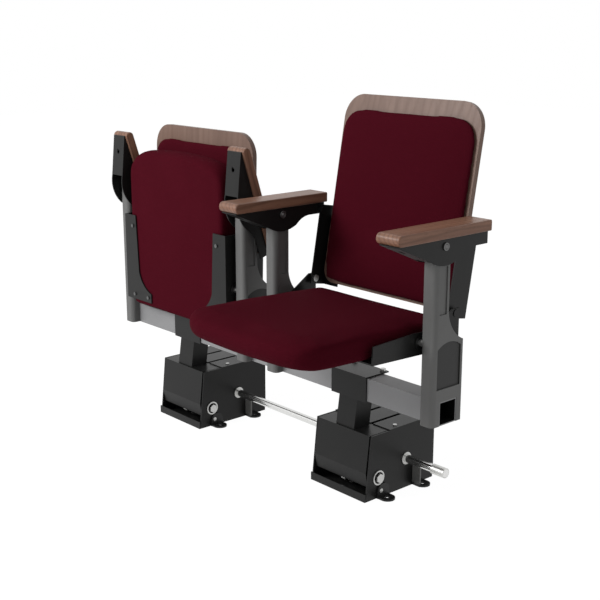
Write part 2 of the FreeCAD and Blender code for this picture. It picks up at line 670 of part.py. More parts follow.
def pedestal(chair, name):
    """Leaning square tube with two ears and a hub on the pivot bolt."""
    body = new_body(name)
    top = f"({BEAM_BOTTOM} - saddle_sheet)"

    def front(height, inset="0"):
        return f"-pedestal_lead + ({height} - box_height) * tan(pedestal_lean) + {inset}"

    def rear(height, inset="0"):
        return f"-pedestal_lead + pedestal_depth + ({height} - box_height) * tan(pedestal_lean) - {inset}"

    outer = [
        (f"{PIVOT_Y} - ear_radius", "pivot_height", "ear_radius", -1),
        (PIVOT_Y, "pivot_height - ear_radius", "ear_radius", -1),
        (f"{PIVOT_Y} + ear_radius", "pivot_height"),
        (rear("pedestal_foot"), "pedestal_foot"),
        (rear(top), top),
        (front(top), top),
        (front("pedestal_foot"), "pedestal_foot"),
    ]
    shape(body, "Pad", "YZ_Plane", "pedestal_width", [outer], both=True)
    over = f"({top} + pedestal_wall)"
    under = "(pivot_height - 2 * ear_radius)"
    inner = [
        (front("pedestal_foot", "-ear_radius"), under),
        (rear("pedestal_foot", "-ear_radius"), under),
        (rear("pedestal_foot", "-ear_radius"), "pedestal_foot"),
        (rear("pedestal_foot", "pedestal_wall"), "pedestal_foot"),
        (rear(over, "pedestal_wall"), over),
        (front(over, "pedestal_wall"), over),
        (front("pedestal_foot", "pedestal_wall"), "pedestal_foot"),
        (front("pedestal_foot", "-ear_radius"), "pedestal_foot"),
    ]
    shape(body, "Pocket", "YZ_Plane", "pedestal_width - 2 * pedestal_wall", [inner], both=True)
    shape(body, "Pad", "YZ_Plane", f"2 * ({BOX} - hub_gap)", both=True,
          circles=[(PIVOT_Y, "pivot_height", "hub_radius")])
    bore = (PIVOT_Y, "pivot_height", "pivot_radius + running_gap")
    shape(body, "Pocket", "YZ_Plane", None, circles=[bore], both=True)
    keep(place(body, centre_of(chair)), name)


def stop_arm(chair, hand, name):
    """Plate on a pedestal's side. Its tip lies on the stop peg and swings up through the cover slot."""
    body = new_body(name)
    outline = [
        (f"{PIVOT_Y}", "pivot_height - stop_heel"),
        (f"{PIVOT_Y} + stop_heel", "pivot_height - stop_heel / 3"),
        (f"{PIVOT_Y} + stop_elbow", "pivot_height + stop_low"),
        (f"{PIVOT_Y} + stop_reach", "pivot_height + stop_low"),
        (f"{PIVOT_Y} + stop_reach", "pivot_height + stop_tip"),
        (f"{PIVOT_Y} + stop_shoulder", "pivot_height + stop_high"),
        (f"{PIVOT_Y} - stop_heel / 2", "pivot_height + stop_high"),
        (f"{PIVOT_Y} - stop_heel", "pivot_height", "stop_heel", -1),
    ]
    hole = (PIVOT_Y, "pivot_height", "hub_radius + fit_gap")
    shape(body, "Pad", "YZ_Plane", "stop_sheet", [outline], [hole], back=hand < 0)
    return place(body, f"{centre_of(chair)} + {hand} * {PEDESTAL_HALF}")


def gear(name, teeth, count, bore):
    """Straight gear on the X axis: a disc, one tooth along +Y and its pattern towards negative turns."""
    body = new_body(name)
    pitch = f"({teeth} * gear_module / 2)"
    root = f"({pitch} - tooth_depth)"
    tip = f"({pitch} + tooth_rise)"
    shape(body, "Pad", "YZ_Plane", "gear_width", circles=[("0", "0", root), ("0", "0", bore)], both=True)
    sunk = "(tooth_depth / 4)"
    wide = f"(tooth_thickness / 2 + (tooth_depth + {sunk}) * tan(flank_angle))"
    thin = "(tooth_thickness / 2 - tooth_rise * tan(flank_angle))"
    outline = [
        (f"{root} - {sunk}", f"-{wide}"),
        (tip, f"-{thin}"),
        (tip, thin),
        (f"{root} - {sunk}", wide),
    ]
    tooth = shape(body, "Pad", "YZ_Plane", "gear_width", [outline], both=True)
    pattern = body.newObject("PartDesign::PolarPattern", f"{name}Teeth")
    pattern.Originals = [tooth]
    pattern.Axis = (origin_feature(body, "X_Axis"), [""])
    pattern.Reversed = True
    pattern.setExpression("Occurrences", bound(count))
    pattern.setExpression("Angle", bound("360" if count == teeth else f"({count} - 1) * 360 / {teeth}"))
    body.Tip = pattern
    doc.recompute()
    return body


def front_flat(body, turn):
    """Take the front off a sector gear, which stands turned by an angle, to keep it clear of the guard."""
    side = "(sector_teeth * gear_module)"

    def spot(ahead, up):
        return (f"{up} * sin({turn}) - {ahead} * cos({turn})", f"{up} * cos({turn}) + {ahead} * sin({turn})")

    outline = [
        spot("sector_flat", f"(-{side})"),
        spot(side, f"(-{side})"),
        spot(side, side),
        spot("sector_flat", side),
    ]
    shape(body, "Pocket", "YZ_Plane", None, [outline], both=True)


def guard(chair, name):
    """Bent sheet that closes the front of a box and goes round the foot of the pedestal."""
    body = new_body(name)
    lean = "((front_reach - guard_lead) / box_height)"
    bend = f"(-front_reach + guard_bend * {lean})"
    foot_y = f"({bend} + guard_tuck)"
    flange_rear = "(-cover_front - slide_gap)"
    outline = [
        (foot_y, "guard_foot"),
        (f"{foot_y} + guard_sheet", "guard_foot"),
        (f"{bend} + guard_sheet", "guard_bend"),
        ("-guard_lead + guard_sheet", "box_height - guard_sheet"),
        (flange_rear, "box_height - guard_sheet"),
        (flange_rear, "box_height"),
        ("-guard_lead", "box_height"),
        (bend, "guard_bend"),
    ]
    shape(body, "Pad", "YZ_Plane", f"2 * ({BOX} - guard_gap)", [outline], both=True)
    low = "(guard_sheet * tan(pedestal_lean))"
    opening = box(f"-{PEDESTAL_HALF} - fit_gap", f"-pedestal_lead - {low} - fit_gap",
                  f"{PEDESTAL_HALF} + fit_gap", "-pedestal_lead + pedestal_depth + fit_gap")
    shape(body, "Pocket", "XY_Plane", None, [opening])
    keep(place(body, centre_of(chair)), name)


def saddle(chair, name):
    """Clamp bent round the front of the beam, closed by bolts behind it."""
    body = new_body(name)
    low = f"({BEAM_BOTTOM} - saddle_sheet)"
    high = f"({BEAM_TOP} + saddle_sheet)"
    outline = [
        (SADDLE_FRONT, low),
        (SADDLE_REAR, low),
        (SADDLE_REAR, BEAM_BOTTOM),
        (BEAM_FRONT, BEAM_BOTTOM),
        (BEAM_FRONT, BEAM_TOP),
        (SADDLE_REAR, BEAM_TOP),
        (SADDLE_REAR, high),
        (SADDLE_FRONT, high),
    ]
    shape(body, "Pad", "YZ_Plane", "saddle_width", [outline], both=True)
    holes = [(f"{hand} * (saddle_width / 2 - saddle_bolt_inset)", f"{BEAM_REAR} + saddle_tail / 2",
              "saddle_bolt_radius + fit_gap") for hand in (LEFT, RIGHT)]
    shape(body, "Pocket", "XY_Plane", None, circles=holes)
    keep(place(body, centre_of(chair)), name)


def saddle_bolt(chair, hand, name):
    """Bolt that draws the two leaves of a saddle clamp together behind the beam."""
    x = f"{centre_of(chair)} + {hand} * (saddle_width / 2 - saddle_bolt_inset)"
    y = f"{BEAM_REAR} + saddle_tail / 2"
    low = f"({BEAM_BOTTOM} - saddle_sheet)"
    high = f"({BEAM_TOP} + saddle_sheet)"
    shank = upright(f"{name}Shank", "saddle_bolt_radius", f"{high} - {low}", x, y, low)
    head = upright(f"{name}Head", "saddle_head_radius", "saddle_head_height", x, y, high)
    under = f"{low} - saddle_head_height"
    nut = upright(f"{name}Nut", "saddle_head_radius", "saddle_head_height", x, y, under)
    return fuse(name, [shank, head, nut])


def beam(name):
    """Square tube that carries all posts."""
    length = "(chair_pitch + post_spacing + post_width - 2 * beam_inset)"
    bits = []
    for label, inset in (("Outside", "0"), ("Inside", "beam_wall")):
        bar = doc.addObject("Part::Box", f"{name}{label}")
        bar.setExpression("Length", bound(length))
        bar.setExpression("Width", bound(f"beam_size - 2 * {inset}"))
        bar.setExpression("Height", bound(f"beam_size - 2 * {inset}"))
        bits.append(place(bar, f"-{length} / 2", f"{BEAM_FRONT} + {inset}", f"{BEAM_BOTTOM} + {inset}"))
    keep(cut(name, *bits), name)


def post(chair, hand, name):
    """Cast post that stands over the beam, with side recesses and the pin of the lower link."""
    body = new_body(name)
    front = "(-post_lead)"
    outline = [
        (front, BEAM_BOTTOM),
        (f"{BEAM_FRONT} - fit_gap", BEAM_BOTTOM),
        (f"{BEAM_FRONT} - fit_gap", f"{BEAM_TOP} + fit_gap"),
        (f"{BEAM_REAR} + fit_gap", f"{BEAM_TOP} + fit_gap"),
        (f"{BEAM_REAR} + fit_gap", BEAM_BOTTOM),
        ("-post_rear", BEAM_BOTTOM),
        ("-post_rear", "arm_height - flare_low", "flare_radius", 1),
        ("-column_rear", "arm_height - flare_high"),
        ("-column_rear", "arm_height - column_top"),
        ("-arm_lead + post_boss", "arm_height", "post_boss", -1),
        ("-arm_lead", "arm_height + post_boss", "post_boss", -1),
        ("-arm_lead - post_boss", "arm_height"),
        (front, "arm_height - column_top"),
    ]
    hole = ("-arm_lead", "arm_height", "arm_pin_radius + fit_gap")
    shape(body, "Pad", "YZ_Plane", "post_width", [outline], [hole], both=True)
    round_edges(body, "post_round", "z", [("-post_width / 2", front), ("post_width / 2", front)])
    low_front = f"({front} + post_round)"
    low_rear = "(-post_rear - recess_margin)"
    panel = [
        (low_front, "recess_low"),
        (low_rear, "recess_low"),
        (low_rear, "arm_height - recess_spring", "recess_arch", -1),
        (low_front, "arm_height - recess_spring"),
    ]
    channel = box(f"{front} + post_round + recess_depth", "arm_height - channel_low",
                  "-column_rear - recess_margin", "arm_height - column_top - channel_margin")
    for side in (LEFT, RIGHT):
        shape(body, "Pocket", "YZ_Plane", "post_width", [panel, channel],
              offset=f"{side} * (post_width / 2 - recess_depth)", back=side < 0)
    inside = f"{-hand} * post_width / 2"
    pin = ("-link_lead", LINK_Z)
    reach = "(link_standoff + recess_depth)"
    floor = f"{-hand} * (post_width / 2 - recess_depth)"
    shape(body, "Pad", "YZ_Plane", f"{reach} - slide_gap", circles=[(*pin, "link_boss_radius")],
          offset=floor, back=hand > 0)
    shape(body, "Pad", "YZ_Plane", f"{reach} + link_sheet - slide_gap", circles=[(*pin, "link_pin_radius")],
          offset=floor, back=hand > 0)
    hinge = ("-seat_lead", "seat_height", "seat_pin_radius + fit_gap")
    shape(body, "Pocket", "YZ_Plane", "seat_pin_depth", circles=[hinge], offset=inside, back=hand < 0)
    keep(place(body, f"{centre_of(chair)} + {hand} * post_spacing / 2"), name)


def arm_bolt(chair, hand, name):
    """Arm pivot through a post, with a flat head outside each bracket wall."""
    middle = f"{centre_of(chair)} + {hand} * post_spacing / 2"
    half = "(bracket_width / 2 + slide_gap)"
    bits = [rod(f"{name}Shank", "arm_pin_radius", f"{middle} - {half}", f"2 * {half}",
                "-arm_lead", "arm_height")]
    for side in (LEFT, RIGHT):
        start = f"{middle} + {side} * {half} - {1 if side < 0 else 0} * arm_head_height"
        bits.append(rod(f"{name}Head", "arm_head_radius", start, "arm_head_height",
                        "-arm_lead", "arm_height"))
    return fuse(name, bits)


def seat_pin(chair, hand, name):
    """Hinge pin of the seat, let into a post and reaching through the seat bracket."""
    inner = f"({HINGE_INSIDE})"
    outer = f"({POST_FACE} + seat_pin_depth)"
    start = inner if hand > 0 else f"(-{outer})"
    return rod(name, "seat_pin_radius", f"{centre_of(chair)} + {start}", f"{outer} - {inner}",
               "-seat_lead", "seat_height")


def folding_row():
    """Everything that turns forward with the beam, apart from the chairs' own moving pieces."""
    arms, sectors, saddle_bolts, arm_bolts, seat_pins = [], [], [], [], []
    for chair, side in SIDES:
        pedestal(chair, f"{side}_pedestal")
        guard(chair, f"{side}_guard")
        saddle(chair, f"{side}_saddle")
        sector = gear(f"{side}SectorGear", "sector_teeth", "sector_count", "hub_radius + fit_gap")
        turn = "(mesh_angle + 360 / sector_teeth)"
        front_flat(sector, turn)
        sectors.append(place(sector, centre_of(chair), PIVOT_Y, "pivot_height", turn))
        for hand in (LEFT, RIGHT):
            which = "outer" if hand == chair else "inner"
            post(chair, hand, f"{side}_{which}_post")
            arms.append(stop_arm(chair, hand, f"{side}{which}StopArm"))
            saddle_bolts.append(saddle_bolt(chair, hand, f"{side}{which}SaddleBolt"))
            arm_bolts.append(arm_bolt(chair, hand, f"{side}{which}ArmBolt"))
            seat_pins.append(seat_pin(chair, hand, f"{side}{which}SeatPin"))
    beam("beam")
    group("stop_arms", arms)
    group("sector_gears", sectors)
    group("saddle_bolts", saddle_bolts)
    group("arm_pivot_bolts", arm_bolts)
    group("seat_hinge_pins", seat_pins)


def drive_line():
    """Shaft through both boxes, its gears and the coupling sleeve at its right end."""
    length = "(shaft_left + shaft_right)"
    keep(rod("drive_shaft", "shaft_radius", "-shaft_left", length, SHAFT_Y, SHAFT_Z), "drive_shaft")
    gears = []
    for chair, side in SIDES:
        wheel = gear(f"{side}DriveGear", "gear_teeth", "gear_teeth", "shaft_radius + fit_gap")
        gears.append(place(wheel, centre_of(chair), SHAFT_Y, SHAFT_Z, "mesh_angle - 180 + 180 / gear_teeth"))
    group("drive_gears", gears)
    start = "(shaft_right - sleeve_length)"
    sleeve = rod("SleeveOutside", "sleeve_radius", start, "sleeve_length", SHAFT_Y, SHAFT_Z)
    bore = rod("SleeveBore", "shaft_radius + fit_gap", start, "sleeve_length", SHAFT_Y, SHAFT_Z)
    keep(cut("shaft_coupling", sleeve, bore), "shaft_coupling")


def arm_place(thing, chair, hand, folded):
    """Put a piece drawn about the arm pivot on its post."""
    return place(thing, f"{centre_of(chair)} + {hand} * post_spacing / 2", "-arm_lead", "arm_height",
                 "-chair_fold" if folded else "0")


def arm_cap(chair, hand, folded, name):
    """Wooden arm cap with a bull nose at its front end."""
    body = new_body(name)
    top = "cap_rise + cap_thickness"
    shape(body, "Pad", "YZ_Plane", "cap_width", [box("-cap_front", "cap_rise", "cap_tail", top)], both=True)
    round_edges(body, "cap_nose", "x", [("-cap_front", "cap_rise"), ("-cap_front", top)])
    sides = [(f"{side} * cap_width / 2", top) for side in (LEFT, RIGHT)]
    round_edges(body, "cap_soft", "y", sides)
    keep(arm_place(body, chair, hand, folded), name)


def arm_bracket(chair, hand, folded, name):
    """Sheet channel under the cap, open over the post, with the stud that carries the back leg."""
    body = new_body(name)
    tip = "(cap_rise - bracket_tip)"
    outline = [
        ("-bracket_front", "cap_rise"),
        ("-bracket_front", tip),
        ("-belly_front", "-belly_drop", "belly_radius", -1),
        ("belly_rear", "-belly_drop", "sweep_radius", 1),
        ("sweep_end", "-bracket_heel"),
        ("bracket_tail", "-bracket_heel"),
        ("bracket_tail", "cap_rise"),
    ]
    hole = ("0", "0", "arm_pin_radius + running_gap")
    shape(body, "Pad", "YZ_Plane", "bracket_width", [outline], [hole], both=True)
    slope = f"((-belly_drop - {tip}) / (bracket_front - belly_front))"
    rise = f"(bracket_sheet * sqrt(1 + {slope} ^ 2))"
    below = "(-2 * belly_radius)"
    start = "(6 * bracket_sheet)"
    inside = [
        (f"-bracket_front + {start}", "cap_rise - bracket_sheet"),
        (f"-bracket_front + {start}", f"{tip} + {slope} * {start} + {rise}"),
        ("-belly_front", f"-belly_drop + {rise}"),
        ("-belly_front", below),
        ("bracket_tail + bracket_sheet", below),
        ("bracket_tail + bracket_sheet", "cap_rise - bracket_sheet"),
    ]
    shape(body, "Pocket", "YZ_Plane", "bracket_width - 2 * bracket_sheet", [inside], both=True)
    half = "(oval_width / 2)"
    straight = f"((oval_length - oval_width) / 2)"
    oval = [
        (f"-{half}", f"-oval_lead - {straight}", half, -1),
        ("0", f"-oval_lead - {straight} - {half}", half, -1),
        (half, f"-oval_lead - {straight}"),
        (half, f"-oval_lead + {straight}", half, -1),
        ("0", f"-oval_lead + {straight} + {half}", half, -1),
        (f"-{half}", f"-oval_lead + {straight}"),
    ]
    shape(body, "Pocket", "XY_Plane", "cap_rise - bracket_sheet", [oval], offset="0", back=True)
    stud = ("back_reach", "-back_drop")
    wall = f"{-hand} * bracket_width / 2"
    to_leg = f"({BRACKET_FACE} - {LEG_FACE})"
    to_head = f"({BRACKET_FACE} - {LEG_INSIDE} + slide_gap)"
    for radius, length in (("stud_collar_radius", f"{to_leg} - slide_gap"), ("back_pin_radius", to_head)):
        shape(body, "Pad", "YZ_Plane", length, circles=[(*stud, radius)], offset=wall, back=hand > 0)
    head = f"{-hand} * (bracket_width / 2 + {to_head})"
    shape(body, "Pad", "YZ_Plane", "stud_head_height", circles=[(*stud, "stud_head_radius")], offset=head,
          back=hand > 0)
    keep(arm_place(body, chair, hand, folded), name)


def back_place(thing, chair, folded):
    """Put a piece drawn upright about the back pivot where the arm carries it."""
    if folded:
        y = "-arm_lead + back_reach * cos(chair_fold) - back_drop * sin(chair_fold)"
        z = "arm_height - back_reach * sin(chair_fold) - back_drop * cos(chair_fold)"
        return place(thing, centre_of(chair), y, z, "back_fold - recline")
    return place(thing, centre_of(chair), "-arm_lead + back_reach", "arm_height - back_drop", "-recline")


def panel_screw_heights():
    """Heights of the screws that hold the panel to a leg."""
    return [f"-leg_bottom / 2 + {step} * panel_screw_pitch" for step in (-1, 0, 1)]


def back_panel(chair, folded, name):
    """Plywood panel with rounded corners."""
    body = new_body(name)
    half = "(panel_width / 2)"
    outline = [
        (f"-{half} + panel_foot", "-panel_bottom"),
        (f"{half} - panel_foot", "-panel_bottom", "panel_foot", -1),
        (half, "-panel_bottom + panel_foot"),
        (half, "panel_top - panel_corner", "panel_corner", -1),
        (f"{half} - panel_corner", "panel_top"),
        (f"-{half} + panel_corner", "panel_top", "panel_corner", -1),
        (f"-{half}", "panel_top - panel_corner"),
        (f"-{half}", "-panel_bottom + panel_foot", "panel_foot", -1),
    ]
    holes = [(f"{side} * ({half} - panel_screw_inset)", height, "screw_radius + fit_gap")
             for side in (LEFT, RIGHT) for height in panel_screw_heights()]
    shape(body, "Pad", "XZ_Plane", "panel_thickness", [outline], holes, offset="-panel_rear")
    keep(back_place(body, chair, folded), name)


def back_leg(chair, hand, folded, name):
    """Angle beside and behind the panel, from the arm stud down to the link."""
    body = new_body(name)
    outline = [
        ("-leg_front", "-leg_bottom"),
        ("leg_tail", "-leg_bottom"),
        ("leg_tail", "leg_top"),
        ("-leg_front", "leg_top"),
    ]
    holes = [
        ("0", "0", "back_pin_radius + running_gap"),
        ("leg_bolt_back", "-leg_bolt_drop", "leg_bolt_radius + fit_gap"),
    ]
    shape(body, "Pad", "YZ_Plane", "leg_sheet", [outline], holes, offset=f"{hand} * {LEG_INSIDE}",
          back=hand < 0)
    flange = box("panel_rear", "-leg_bottom", "panel_rear + leg_sheet", "-stud_head_radius - leg_sheet")
    shape(body, "Pad", "YZ_Plane", "leg_flange", [flange], offset=f"{hand} * {LEG_FACE}", back=hand > 0)
    screws = [(f"{hand} * (panel_width / 2 - panel_screw_inset)", height, "screw_radius + fit_gap")
              for height in panel_screw_heights()]
    shape(body, "Pocket", "XZ_Plane", None, circles=screws, both=True)
    keep(back_place(body, chair, folded), name)


def back_bolts(chair, folded, name):
    """Screws that hold the panel to its legs, and the short bolts at the foot of the legs."""
    body_list = []
    for hand in (LEFT, RIGHT):
        for height in panel_screw_heights():
            body = new_body(f"{name}Screw")
            spot = (f"{hand} * (panel_width / 2 - panel_screw_inset)", height)
            rear = "(panel_rear + leg_sheet)"
            shape(body, "Pad", "XZ_Plane", "leg_sheet + panel_thickness / 2", offset=f"-{rear}",
                  circles=[(*spot, "screw_radius")])
            shape(body, "Pad", "XZ_Plane", "screw_head_height", circles=[(*spot, "screw_head_radius")],
                  offset=f"-{rear}", back=True)
            body_list.append(back_place(body, chair, folded))
        body = new_body(f"{name}Leg")
        spot = ("leg_bolt_back", "-leg_bolt_drop")
        shape(body, "Pad", "YZ_Plane", "leg_sheet", circles=[(*spot, "leg_bolt_radius")],
              offset=f"{hand} * {LEG_INSIDE}", back=hand < 0)
        shape(body, "Pad", "YZ_Plane", "stud_head_height", circles=[(*spot, "stud_head_radius")],
              offset=f"{hand} * {LEG_INSIDE}", back=hand > 0)
        body_list.append(back_place(body, chair, folded))
    group(name, body_list)


def section(points, bulges):
    """A closed wire through points. Each stretch is straight or bulges outwards by its own amount."""
    edges = []
    middle = sum(points, FreeCAD.Vector()) * (1 / len(points))
    for index, bulge in enumerate(bulges):
        start = points[index]
        end = points[(index + 1) % len(points)]
        if bulge == 0:
            edges.append(Part.LineSegment(start, end).toShape())
            continue
        half_way = (start + end) * 0.5
        chord = end - start
        normal = FreeCAD.Vector(0, -chord.z, chord.y).normalize()
        outwards = normal if normal.dot(half_way - middle) > 0 else normal * -1
        edges.append(Part.Arc(start, half_way + outwards * bulge, end).toShape())
    return Part.Wire(edges)


def soft_form(name, sections):
    """A closed soft solid lofted through its sections."""
    form = doc.addObject("Part::Feature", name)
    form.Shape = Part.makeLoft(sections, True, False)
    return form


def stations(half_width, corner, angles):
    """Places across a cushion, close together where its corners turn."""
    inner = [0.0, 0.5 * (half_width - corner)]
    turn = [half_width - corner * (1 - math.sin(math.radians(angle))) for angle in angles]
    right = inner + turn
    return [-place for place in reversed(right[1:])] + right


def corner_drop(place, half_width, corner):
    """How far a rounded corner falls back at a place across a cushion."""
    past = max(abs(place) - (half_width - corner), 0)
    return corner - math.sqrt(max(corner ** 2 - past ** 2, 0))


def back_cushion(chair, folded, name):
    """Crowned pad on the panel, thin at its rim, with rounded corners."""
    half = value("pad_width") / 2
    corner = value("pad_corner")
    rear = value(PANEL_FRONT) - value("pad_gap")
    rim = value("pad_rim")
    crown = value("pad_crown")
    top = value("panel_top - pad_margin")
    bottom = -value("panel_bottom")
    wires = []
    for across in stations(half, corner, (0, 30, 60, 90)):
        drop = corner_drop(across, half, corner)
        fullness = 1 - (across / half) ** 2
        front = rear - rim * (0.55 + 0.45 * math.sqrt(fullness))
        swell = (crown - rim) * fullness + 1
        edge = rim / 3
        points = [FreeCAD.Vector(across, y, z) for y, z in (
            (front, top - drop - rim), (front, bottom + drop + rim),
            (rear, bottom + drop + edge), (rear, top - drop - edge))]
        wires.append(section(points, (swell, edge, 0, edge)))
    keep(back_place(soft_form(name, wires), chair, folded), name)


def lower_link(chair, hand, folded, name):
    """Plate from the pin on the post to the foot of the back leg."""
    body = new_body(name)
    outline = [
        ("-link_round", "0"),
        ("-link_round / 2", "link_round"),
        (f"{LINK_REACH} - link_round", f"{LINK_RISE} + link_round"),
        (f"{LINK_REACH} + link_round", f"{LINK_RISE} + link_round"),
        (f"{LINK_REACH} + link_round", "-link_heel / 2"),
        (f"{LINK_REACH}", "-link_heel"),
        ("0", "-link_round"),
    ]
    hole = ("0", "0", "link_pin_radius + running_gap")
    inner = f"({LINK_FACE} - link_sheet)"
    shape(body, "Pad", "YZ_Plane", "link_sheet", [outline], [hole], offset=f"{hand} * {inner}",
          back=hand < 0)
    end = (LINK_REACH, LINK_RISE, "link_head_radius")
    shape(body, "Pad", "YZ_Plane", "link_head_height", circles=[end], offset=f"{hand} * {LINK_FACE}",
          back=hand < 0)
    shape(body, "Pad", "YZ_Plane", "leg_gap - slide_gap", circles=[end], offset=f"{hand} * {inner}",
          back=hand > 0)
    return place(body, centre_of(chair), "-link_lead", LINK_Z, "-link_fold" if folded else "0")


def seat_place(thing, chair, folded):
    """Put a piece drawn about the seat hinge where the hinge is."""
    return place(thing, centre_of(chair), "-seat_lead", "seat_height",
                 "-seat_fold" if folded else "-seat_tilt")


def seat_cushion(chair, folded, name):
    """Upholstered seat: crowned top, bowed nose, round sides, and a rear face that leans forward."""
    half = value("seat_width") / 2
    corner = value("seat_corner")
    rear_corner = value("seat_rear_corner")
    side = value("seat_side")
    thickness = value("seat_rim + seat_under")
    wires = []
    for across in stations(half, corner, (0, 30, 55, 75, 90)):
        share = abs(across) / half
        pinch = corner_drop(across, half, side)
        low = pinch - value("seat_under")
        high = value("seat_rim") - pinch
        height = (high - low) / thickness
        nose = value("seat_nose") * height
        heel = value("seat_heel") * height
        front = value("seat_bow") * share ** 2 - value("seat_front") + corner_drop(across, half, corner)
        rear = value("seat_tail") - heel - corner_drop(across, half, rear_corner)
        lean = value("seat_lean") * height
        crown = value("seat_crown") * (1 - share ** 4) + 1
        points = [FreeCAD.Vector(across, y, z) for y, z in (
            (front + nose, low), (rear, low), (rear - lean, high), (front + nose, high))]
        wires.append(section(points, (0, heel, crown, nose)))
    keep(seat_place(soft_form(name, wires), chair, folded), name)


def foot_screws():
    """Places of a seat bracket's screws: from the cushion side inwards, and along the seat."""
    return (("foot_narrow - foot_inset", "foot_lead - hinge_front"),
            ("foot_narrow - foot_inset", "hinge_tail - foot_inset"),
            ("foot_wide - foot_inset", "hinge_tail - foot_inset"))


def seat_bracket(chair, hand, folded, name):
    """Angle at the side of the seat: a flange with the hinge boss, and a curved foot under the cushion."""
    body = new_body(name)
    low = "(-seat_under - seat_gap - hinge_sheet)"
    outline = [
        ("-hinge_front", low),
        ("hinge_tail", low),
        ("hinge_tail", f"{low} + 2 * hinge_sheet"),
        ("hinge_boss + hinge_sheet", "0"),
        ("hinge_boss", "hinge_top"),
        ("-hinge_boss", "hinge_top"),
        ("-hinge_front", "hinge_low_front"),
    ]
    hole = ("0", "0", "seat_pin_radius + running_gap")
    shape(body, "Pad", "YZ_Plane", "hinge_sheet", [outline], [hole], offset=f"{hand} * {HINGE_INSIDE}",
          back=hand < 0)
    circles = [("0", "0", "hinge_boss"), hole]
    shape(body, "Pad", "YZ_Plane", "hinge_boss_length", circles=circles, offset=f"{hand} * {HINGE_INSIDE}",
          back=hand < 0)
    side = f"{hand} * ({HINGE_INSIDE} + hinge_sheet)"
    foot_outline = [
        (side, "-hinge_front"),
        (side, "hinge_tail"),
        (f"{side} - {hand} * foot_wide", "hinge_tail"),
        (f"{side} - {hand} * foot_wide", "foot_turn", "foot_sweep", hand),
        (f"{side} - {hand} * foot_waist", "foot_straight"),
        (f"{side} - {hand} * foot_narrow", "-hinge_front"),
    ]
    holes = [(f"{side} - {hand} * ({inwards})", along, "screw_radius + fit_gap")
             for inwards, along in foot_screws()]
    shape(body, "Pad", "XY_Plane", "hinge_sheet", [foot_outline], holes, offset=low)
    keep(seat_place(body, chair, folded), name)


def seat_screws(chair, folded, name):
    """Screws under the feet of the seat brackets."""
    screws = []
    low = "(-seat_under - seat_gap - hinge_sheet)"
    for hand in (LEFT, RIGHT):
        for inwards, along in foot_screws():
            body = new_body(f"{name}Screw")
            spot = (f"{hand} * ({HINGE_INSIDE} + hinge_sheet - ({inwards}))", along)
            shape(body, "Pad", "XY_Plane", "hinge_sheet", circles=[(*spot, "screw_radius")], offset=low)
            shape(body, "Pad", "XY_Plane", "screw_head_height", circles=[(*spot, "screw_head_radius")],
                  offset=low, back=True)
            screws.append(seat_place(body, chair, folded))
    group(name, screws)


def chair_pieces(chair, side, folded):
    """The moving pieces of one chair."""
    links = []
    for hand in (LEFT, RIGHT):
        which = "outer" if hand == chair else "inner"
        arm_cap(chair, hand, folded, f"{side}_{which}_arm_cap")
        arm_bracket(chair, hand, folded, f"{side}_{which}_arm_bracket")
        back_leg(chair, hand, folded, f"{side}_{which}_back_leg")
        seat_bracket(chair, hand, folded, f"{side}_{which}_seat_bracket")
        links.append(lower_link(chair, hand, folded, f"{side}{which}LowerLink"))
    group(f"{side}_lower_links", links)
    back_panel(chair, folded, f"{side}_back_panel")
    back_cushion(chair, folded, f"{side}_back_cushion")
    back_bolts(chair, folded, f"{side}_back_bolts")
    seat_cushion(chair, folded, f"{side}_seat_cushion")
    seat_screws(chair, folded, f"{side}_seat_screws")


def check_and_export():
    """Stop at anything that failed, then write one file for each sub-part."""
    for thing in doc.Objects:
        if {"Invalid", "Error"} & set(thing.State):
            raise RuntimeError(f"{thing.Name} failed: {thing.State}")
    for node in NODES:
        if node.Shape.isNull() or not node.Shape.isValid():
            raise RuntimeError(f"{node.Label} has no valid shape")
    os.makedirs("parts", exist_ok=True)
    for node in NODES:
        node.Shape.exportStep(f"parts/{node.Label}.step")
        print(f"{node.Label}: {len(node.Shape.Solids)} solids, {node.Shape.Volume / 1000:.1f} cm3")
    print(f"{len(NODES)} sub-parts")


floor_boxes()
folding_row()
drive_line()
chair_pieces(LEFT, "left", True)
chair_pieces(RIGHT, "right", False)
doc.recompute()
check_and_export()
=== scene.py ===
# %% [markdown]
# # Two-place folding stadium seat
# A stadium seat is a small machine: two upholstered chairs share one square beam, and the beam stands on
# two floor boxes that let the whole row fold forward. The left chair is folded and the right one is open.
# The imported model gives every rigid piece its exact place, so it is loaded first and never moved. This
# lesson adds what a workshop drawing leaves out: finishes, soft cushions, small hardware and light.

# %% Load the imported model
import json
import math

import bmesh
import bpy
from mathutils import Matrix, Vector


